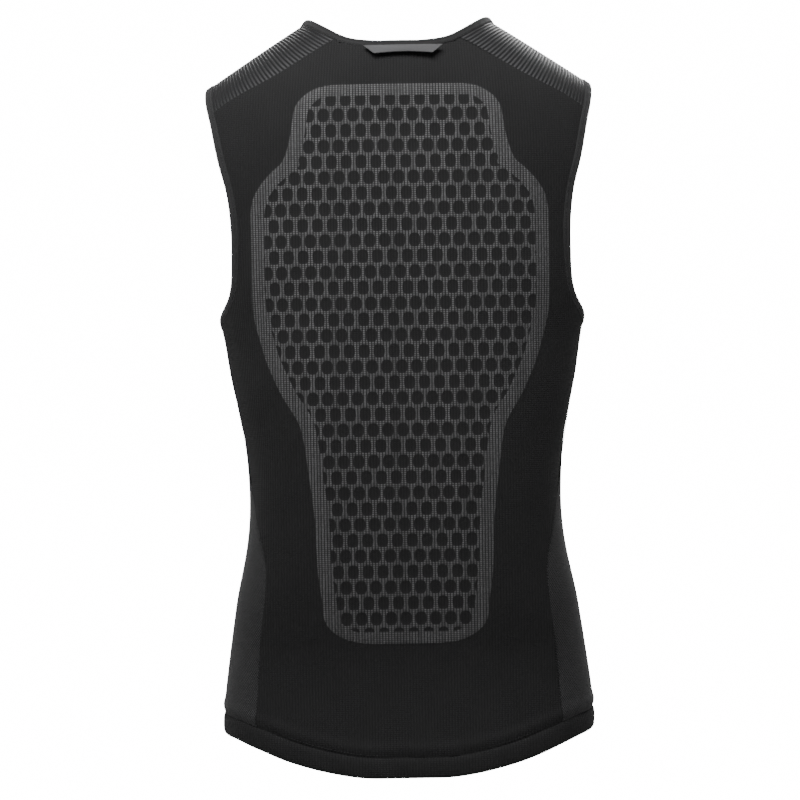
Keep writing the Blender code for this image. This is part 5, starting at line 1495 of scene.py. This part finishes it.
LINER_THICKNESS = 0.0012
POCKET_SIDE_CLEARANCE = 0.004
POCKET_LID_RISE = 0.004
LID_SLOPE = 1.5
POCKET_MOUTH_LEVEL = 0.100
LINER_EDGE_GAP = 0.0012
FLAP_LAP_TOP = 0.086
FLAP_LAP_BOTTOM = 0.064
FLAP_THICKNESS = 0.0010
HOOK_THICKNESS = 0.0010
STRIP_MARGIN = 0.002
FLAP_PARTS = 6
LINING_YARN = (0.030, 0.030, 0.032)
LINING_HOLE = (0.008, 0.008, 0.0085)
HOOK_BLACK = (0.014, 0.014, 0.0145)
LINING_NET = net_material("pocket_net", LINING_YARN, LINING_HOLE, 0.0024, 1.2, 0.26, 0.0003, 0.85)


def under_panel(x, z, gap):
    """Points inside the back panel, a gap away from its inner face."""
    x, z = np.broadcast_arrays(x, z)
    y = -back_depth(z) * side_rounding(x, z) * crown(x, z)
    points = np.stack((x, y, z), axis=-1)
    facing = np.abs(outward(points)[..., 1])
    points[..., 1] += (PANEL_THICKNESS + gap) / np.maximum(facing, 0.2)
    return points


def sheet_between(name, outer, inner, material, nodes, flat, body="root"):
    weave = np.stack((outer[..., 0], outer[..., 2]), axis=-1).reshape(-1, 2)
    points = np.concatenate((outer.reshape(-1, 3), inner.reshape(-1, 3)))
    item = place_piece(name, points, slab_faces(*outer.shape[:2]), material, body, nodes,
                       {"weave": np.concatenate((weave, weave))})
    round(min(area_of(outer), flat[0] * flat[1]), 6)
    return item


def pocket_tray():
    widest = PAD_HALF_WIDTH + POCKET_SIDE_CLEARANCE
    top = PAD_TOP_LEVEL + POCKET_SIDE_CLEARANCE
    levels = np.concatenate((
        np.linspace(POCKET_MOUTH_LEVEL, PAD_WIDEST_LEVEL, 60),
        np.linspace(PAD_WIDEST_LEVEL, top, 50)[1:],
    ))
    grids = []
    for wall in (0.0, LINER_THICKNESS):
        rows = []
        for level in levels:
            half = widest
            if level > PAD_WIDEST_LEVEL:
                half = float(pad_half_width(min(level, PAD_TOP_LEVEL - 0.012))) + POCKET_SIDE_CLEARANCE
            half += wall
            floor_x = np.linspace(-half, half, 61)
            floor = arc_points(floor_x, np.full(61, level), LINER_DEPTH + wall)
            rims = under_panel(np.array((-half, half)), floor[[0, -1], 2], LINER_EDGE_GAP)
            walls = [floor[[0, -1]] * (1 - t) + rims * t for t in (1.0, 0.75, 0.5, 0.25)]
            left = np.array([w[0] for w in walls])
            right = np.array([w[1] for w in walls[::-1]])
            rows.append(np.concatenate((left, floor, right)))
        lid_x = rows[-1][:, 0].copy()
        lid_x[:4] -= TOUCH_GAP
        lid_x[-4:] += TOUCH_GAP
        lid = under_panel(lid_x, rows[-1][:, 2] + POCKET_LID_RISE + LID_SLOPE * wall, LINER_EDGE_GAP)
        rows.extend([rows[-1] * (1 - t) + lid * t for t in (0.33, 0.67, 1.0)])
        grids.append(np.array(rows))
    outer, inner = grids
    flat = (round(lengths_along(outer[60])[-1], 4), round(lengths_along(outer[:, 34])[-1], 4))
    sheet_between("pocket_liner_net", outer, inner, LINING_NET, ["pocket_liner"], flat)


def towards_body(grid, thickness):
    along = np.gradient(grid, axis=0)
    across = np.gradient(grid, axis=1)
    normal = np.cross(across, along)
    normal /= np.linalg.norm(normal, axis=-1, keepdims=True)
    if normal[..., 1].mean() < 0:
        normal = -normal
    return grid + normal * thickness


def hook_material():
    material, shader, w = cloth_material("hook_and_loop", 0.9, 0.2)
    place = w.node("ShaderNodeTexCoord").outputs["Object"]
    pile = w.node("ShaderNodeTexVoronoi")
    w.feed(pile.inputs["Vector"], place)
    w.feed(pile.inputs["Scale"], 1300.0)
    dark, bright = tuple(0.5 * c for c in HOOK_BLACK), tuple(1.9 * c for c in HOOK_BLACK)
    colour = w.blend(pile.outputs["Distance"], dark, bright)
    w.feed(shader.inputs["Base Color"], colour)
    w.feed(shader.inputs["Roughness"], w.sum("MULTIPLY_ADD", pile.outputs["Distance"], 0.15, 0.8))
    raised(w, shader, pile.outputs["Distance"], 0.0005)
    return material


HOOK_PILE = hook_material()


def flap_rows(across, lap_gap):
    lap = under_panel(across, np.full(len(across), FLAP_LAP_TOP), lap_gap)
    hang = arc_points(across, np.full(len(across), POCKET_MOUTH_LEVEL - TOUCH_GAP), LINER_DEPTH)
    lap_levels = np.linspace(FLAP_LAP_BOTTOM, FLAP_LAP_TOP, 9)
    rows = [under_panel(across, np.full(len(across), z), lap_gap) for z in lap_levels]
    for t in np.linspace(0, 1, 13)[1:]:
        sweep = t * t * (3 - 2 * t)
        row = lap * (1 - t) + hang * t
        row[:, 1] = lap[:, 1] * (1 - sweep) + hang[:, 1] * sweep
        rows.append(row)
    return np.array(rows)


def pocket_closure():
    """The loop strip stays on the panel; the flap and its hooks are made in six strips, all on the root body.
    """
    half = PAD_HALF_WIDTH - POCKET_SIDE_CLEARANCE
    strip_half = half - STRIP_MARGIN
    levels = np.linspace(FLAP_LAP_BOTTOM + STRIP_MARGIN, FLAP_LAP_TOP - STRIP_MARGIN, 9)
    across = np.linspace(-strip_half, strip_half, 97)
    tall = FLAP_LAP_TOP - FLAP_LAP_BOTTOM - 2 * STRIP_MARGIN
    grid = np.array([under_panel(across, np.full(97, z), TOUCH_GAP) for z in levels])
    sheet_between("pocket_loop_pile", grid, towards_body(grid, HOOK_THICKNESS), HOOK_PILE,
                  ["pocket_loop_strip"], (round(lengths_along(grid[4])[-1], 4), round(tall * 1.05, 4)))
    hook_gap = 2 * TOUCH_GAP + HOOK_THICKNESS
    lap_gap = hook_gap + HOOK_THICKNESS + TOUCH_GAP
    cuts = np.linspace(-half, half, FLAP_PARTS + 1)
    for k, (start, end) in enumerate(zip(cuts, cuts[1:])):
        middle = 0.5 * (start + end)
        spots = middle + np.array((-0.002, 0.0, 0.002))
        mouth = arc_points(spots, np.full(3, POCKET_MOUTH_LEVEL), LINER_DEPTH + 0.0035)
        low = arc_points(np.array([middle]), np.array([FLAP_LAP_BOTTOM]), LINER_DEPTH + 0.0035)[0]
        lean = np.cross(mouth[2] - mouth[0], mouth[1] - low)
        lean = lean / np.linalg.norm(lean)
        across = np.linspace(start, end, 17)
        grid = flap_rows(across, lap_gap)
        nodes = ["pocket_flap"] if k == 0 else []
        wide, high = round((end - start) * 1.04, 4), round(lengths_along(grid[:, 8])[-1] * 1.02, 4)
        flap = sheet_between(f"pocket_flap_cloth_{k + 1}", grid, towards_body(grid, FLAP_THICKNESS), LINING_NET,
                             nodes, (wide, high))
        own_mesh(flap)
        strip_x = np.clip(across, -strip_half, strip_half)
        grid = np.array([under_panel(strip_x, np.full(17, z), hook_gap) for z in levels])
        nodes = ["pocket_hook_strip"] if k == 0 else []
        hooks = sheet_between(f"pocket_hooks_{k + 1}", grid, towards_body(grid, HOOK_THICKNESS), HOOK_PILE,
                              nodes, (wide, round(tall * 1.05, 4)))
        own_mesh(hooks)


pocket_tray()
pocket_closure()

# ---------------------------------------------------------------------------
# Size label: a small woven tab sewn inside the neck, left blank.
# ---------------------------------------------------------------------------

LABEL_WIDTH = 0.042
LABEL_HEIGHT = 0.020
LABEL_THICKNESS = 0.0006
LABEL_GAP = 0.0016
LABEL_DROP = 0.006
LABEL_GREY = (0.19, 0.19, 0.195)
LABEL_WEAVE = twill_material("label_weave", LABEL_GREY, 0.0006, 0.0006, 0.75, 0.0001, 0.2)


def size_label():
    top = NAPE_LEVEL - NECK_BINDING_WIDTH - LABEL_DROP
    across = np.linspace(-LABEL_WIDTH / 2, LABEL_WIDTH / 2, 41)
    levels = np.linspace(top - LABEL_HEIGHT, top, 21)
    grid = np.array([under_panel(across, np.full(41, z), LABEL_GAP) for z in levels])
    curl = np.linspace(1, 0, 21)[:, None] ** 3 * 0.0004
    grid[..., 1] += curl * (0.5 + 0.5 * np.cos(across / 0.006))[None, :]
    sheet_between("size_label_tab", grid, towards_body(grid, LABEL_THICKNESS), LABEL_WEAVE,
                  ["size_label"], (LABEL_WIDTH, LABEL_HEIGHT * 1.02))


size_label()

# ---------------------------------------------------------------------------
# Zip: two woven tapes, each with a spiral of nylon filament sewn along its edge, metal stops at
# the top, and a pin and box at the bottom. The slider, its bail and the pull are cast metal.
# ---------------------------------------------------------------------------

ZIP_TAPE_WIDTH = 0.0140
ZIP_TAPE_THICKNESS = 0.0010
ZIP_CHANNEL = 0.0018
ZIP_COIL_WIDTH = 0.0026
ZIP_COIL_THICKNESS = 0.0020
ZIP_END_MARGIN = 0.0120
ZIP_FOOT_MARGIN = 0.0015
BOX_LENGTH = 0.0100
COIL_PITCH = 0.00135
FILAMENT_RADIUS = 0.00032
TAPE_OUT = -PANEL_THICKNESS - SEAM_GAP
TAPE_IN = TAPE_OUT - ZIP_TAPE_THICKNESS
COIL_IN = TAPE_OUT + TOUCH_GAP
COIL_OUT = COIL_IN + ZIP_COIL_THICKNESS
SLIDER_PLATE = 0.0011
BACKING_HALF_WIDTH = 0.019
BACKING_THICKNESS = 0.0010
ZIP_BLACK = (0.012, 0.012, 0.0125)
ZIP_TAPE_BLACK = (0.014, 0.014, 0.0145)
SLIDER_GUNMETAL = (0.075, 0.075, 0.080)
zip_length = (THROAT_LEVEL - FRONT_HEM_RISE) / math.cos(FRONT_LEAN)
zip_frame = Matrix.Translation((0.0, FRONT_THROAT_DEPTH, THROAT_LEVEL)) @ Matrix.Rotation(FRONT_LEAN, 4, "X")
zip_turn = np.array(zip_frame.to_3x3())
zip_place = np.array(zip_frame.translation)


def from_zip(points):
    """Points given in the zip's own frame, whose Z axis runs up it and whose Y axis points forwards."""
    return np.asarray(points) @ zip_turn.T + zip_place


def zip_ribbon(name, low_x, high_x, outer_y, thickness, low_z, high_z, material, node, ripple=0.0):
    rows = max(2, int((high_z - low_z) / 0.004))
    z = np.linspace(low_z, high_z, rows)[:, None]
    x = np.linspace(low_x, high_x, 17)[None, :]
    sway = ripple * np.sin(z / 0.011) * np.ones_like(x)
    outer = np.stack(np.broadcast_arrays(x, outer_y + sway, z), axis=-1)
    inner = np.stack(np.broadcast_arrays(x, outer_y - thickness + sway, z), axis=-1)
    weave = np.stack(np.broadcast_arrays(x, z), axis=-1).reshape(-1, 2)
    points = from_zip(np.concatenate((outer.reshape(-1, 3), inner.reshape(-1, 3))))
    item = place_piece(name, points, slab_faces(rows, 17), material, "root", [node],
                       {"weave": np.concatenate((weave, weave))})
    return item


def coil(name, side, low_z, high_z, node):
    """A spiral of filament whose loops face the centre line."""
    turns = int((high_z - low_z - 0.001) / COIL_PITCH)
    per_turn, sides = 12, 6
    t = np.linspace(0, turns, turns * per_turn + 1)
    angle = 2 * math.pi * t
    radius = FILAMENT_RADIUS
    wide = ZIP_COIL_WIDTH / 2 - radius
    thick = ZIP_COIL_THICKNESS / 2 - radius
    middle_x = ZIP_CHANNEL / 2 + ZIP_COIL_WIDTH / 2
    squared = np.sign(np.cos(angle)) * np.abs(np.cos(angle)) ** 0.6
    x = side * (middle_x - wide * squared)
    y = (COIL_IN + COIL_OUT) / 2 + thick * np.sin(angle)
    z = low_z + 0.0005 + t * COIL_PITCH + 0.0002 * np.cos(angle)
    path = np.stack((x, y, z), axis=-1)
    ahead = directions(path)
    side_way = np.cross(ahead, np.array((0.0, 0.0, 1.0)))
    side_way /= np.linalg.norm(side_way, axis=1, keepdims=True)
    up = np.cross(side_way, ahead)
    points = []
    for k in range(sides):
        turn = 2 * math.pi * k / sides
        points.append(path + (side_way * math.cos(turn) + up * math.sin(turn)) * radius)
    points = np.stack(points, axis=1)
    rows = len(path)
    index = np.arange(rows * sides).reshape(rows, sides)
    around = np.roll(index, -1, axis=1)
    faces = np.stack((index[:-1], around[:-1], around[1:], index[1:]), axis=-1).reshape(-1, 4).tolist()
    faces.append(index[0].tolist())
    faces.append(index[-1].tolist())
    return place_piece(name, from_zip(points.reshape(-1, 3)), faces, FILAMENT, "root", [node],
                       sharp=80.0)


def hard_material(name, colour, roughness, metallic, wear, slot_scale=900.0):
    """Moulded nylon or cast metal: fine casting grain, handling marks and brighter edges."""
    material = bpy.data.materials.new(name)
    material.use_nodes = True
    shader = material.node_tree.nodes["Principled BSDF"]
    shader.inputs["Metallic"].default_value = metallic
    w = Wiring(material.node_tree)
    place = w.node("ShaderNodeTexCoord").outputs["Object"]
    grain = w.node("ShaderNodeTexNoise")
    w.feed(grain.inputs["Vector"], place)
    w.feed(grain.inputs["Scale"], slot_scale)
    w.feed(grain.inputs["Detail"], 3.0)
    rubbed = w.node("ShaderNodeTexNoise")
    w.feed(rubbed.inputs["Vector"], place)
    w.feed(rubbed.inputs["Scale"], 160.0)
    mask = w.step(rubbed.outputs[0], 0.48, 0.72)
    edges = w.node("ShaderNodeNewGeometry").outputs["Pointiness"]
    worn = w.sum("MAXIMUM", w.sum("MULTIPLY", mask, 0.4), w.step(edges, 0.52, 0.62))
    colour_node = w.blend(w.sum("MULTIPLY", worn, wear), colour, tuple(min(1.0, 3.2 * c) for c in colour))
    w.feed(shader.inputs["Base Color"], colour_node)
    w.feed(shader.inputs["Roughness"], w.sum("MULTIPLY_ADD", grain.outputs[0], 0.22, roughness - 0.08))
    raised(w, shader, grain.outputs[0], 0.00006, 0.6)
    return material


FILAMENT = hard_material("coil_nylon", ZIP_BLACK, 0.34, 0.0, 0.25)
MOULDED = hard_material("moulded_nylon", ZIP_BLACK, 0.42, 0.0, 0.35)
GUNMETAL = hard_material("gunmetal", SLIDER_GUNMETAL, 0.34, 0.92, 0.55)
ZIP_TWILL = twill_material("zip_tape_weave", ZIP_TAPE_BLACK, 0.0012, 0.0009, 0.82, 0.0002, 0.35)
tape_low = -zip_length + ZIP_FOOT_MARGIN
tape_high = -NECK_BINDING_WIDTH - 2 * SEAM_GAP
coil_low = -zip_length + BOX_LENGTH + ZIP_FOOT_MARGIN + TOUCH_GAP
near = ZIP_CHANNEL / 2
for side_name, side in (("right", 1), ("left", -1)):
    edges = sorted((side * (near + 0.0001), side * (near + ZIP_TAPE_WIDTH)))
    zip_ribbon(f"zip_tape_{side_name}_weave", edges[0], edges[1], TAPE_OUT, ZIP_TAPE_THICKNESS, tape_low,
               tape_high, ZIP_TWILL, f"zip_tape_{side_name}")
    coil(f"zip_coil_{side_name}_filament", side, coil_low, -ZIP_END_MARGIN, f"zip_coil_{side_name}")
    for row_name, out_x in (("inner", near + ZIP_COIL_WIDTH + 0.0006), ("outer", ZIP_REVEAL + 0.0035)):
        z = np.linspace(tape_low + 0.004, tape_high - 0.004, 240)
        level = TAPE_OUT if row_name == "inner" else 0.0006
        line = from_zip(np.stack((np.full(240, side * out_x), np.full(240, level), z), axis=-1))
        if row_name == "outer":
            line = onto_skin(line)
        normal = np.broadcast_to(from_zip([(0, 1, 0)])[0] - zip_place, line.shape)
        lift = 0.00015 if row_name == "inner" else ZIP_EDGE_ROLL * 0.25
        sewn_line(f"zip_{side_name}_{row_name}_stitches", line + normal * lift, normal, "zip_tape")
backing_out = TAPE_IN - TOUCH_GAP - SLIDER_PLATE - TOUCH_GAP
zip_ribbon("zip_backing_knit", -BACKING_HALF_WIDTH, BACKING_HALF_WIDTH, backing_out, BACKING_THICKNESS,
           -zip_length + ZIP_FOOT_MARGIN, -NECK_BINDING_WIDTH - 0.001, PLAIN_KNIT, "zip_backing_flap")

BEVELS = {
    "zip_slider": (GUNMETAL, 0.00022), "zip_pull": (GUNMETAL, 0.00025),
    "zip_top_stop_left": (GUNMETAL, 0.00030), "zip_top_stop_right": (GUNMETAL, 0.00030),
    "zip_insertion_pin": (MOULDED, 0.00030), "zip_retainer_box": (MOULDED, 0.00025),
}
for node_name, (material, width) in BEVELS.items():
    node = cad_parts[node_name]
    if not node.material_slots:
        node.data.materials.append(material)
    for held in node.material_slots:
        held.material = material
    bevel = node.modifiers.new("cast_edges", "BEVEL")
    bevel.width = width
    bevel.segments = 2
    bevel.limit_method = "ANGLE"
    bevel.angle_limit = math.radians(40)
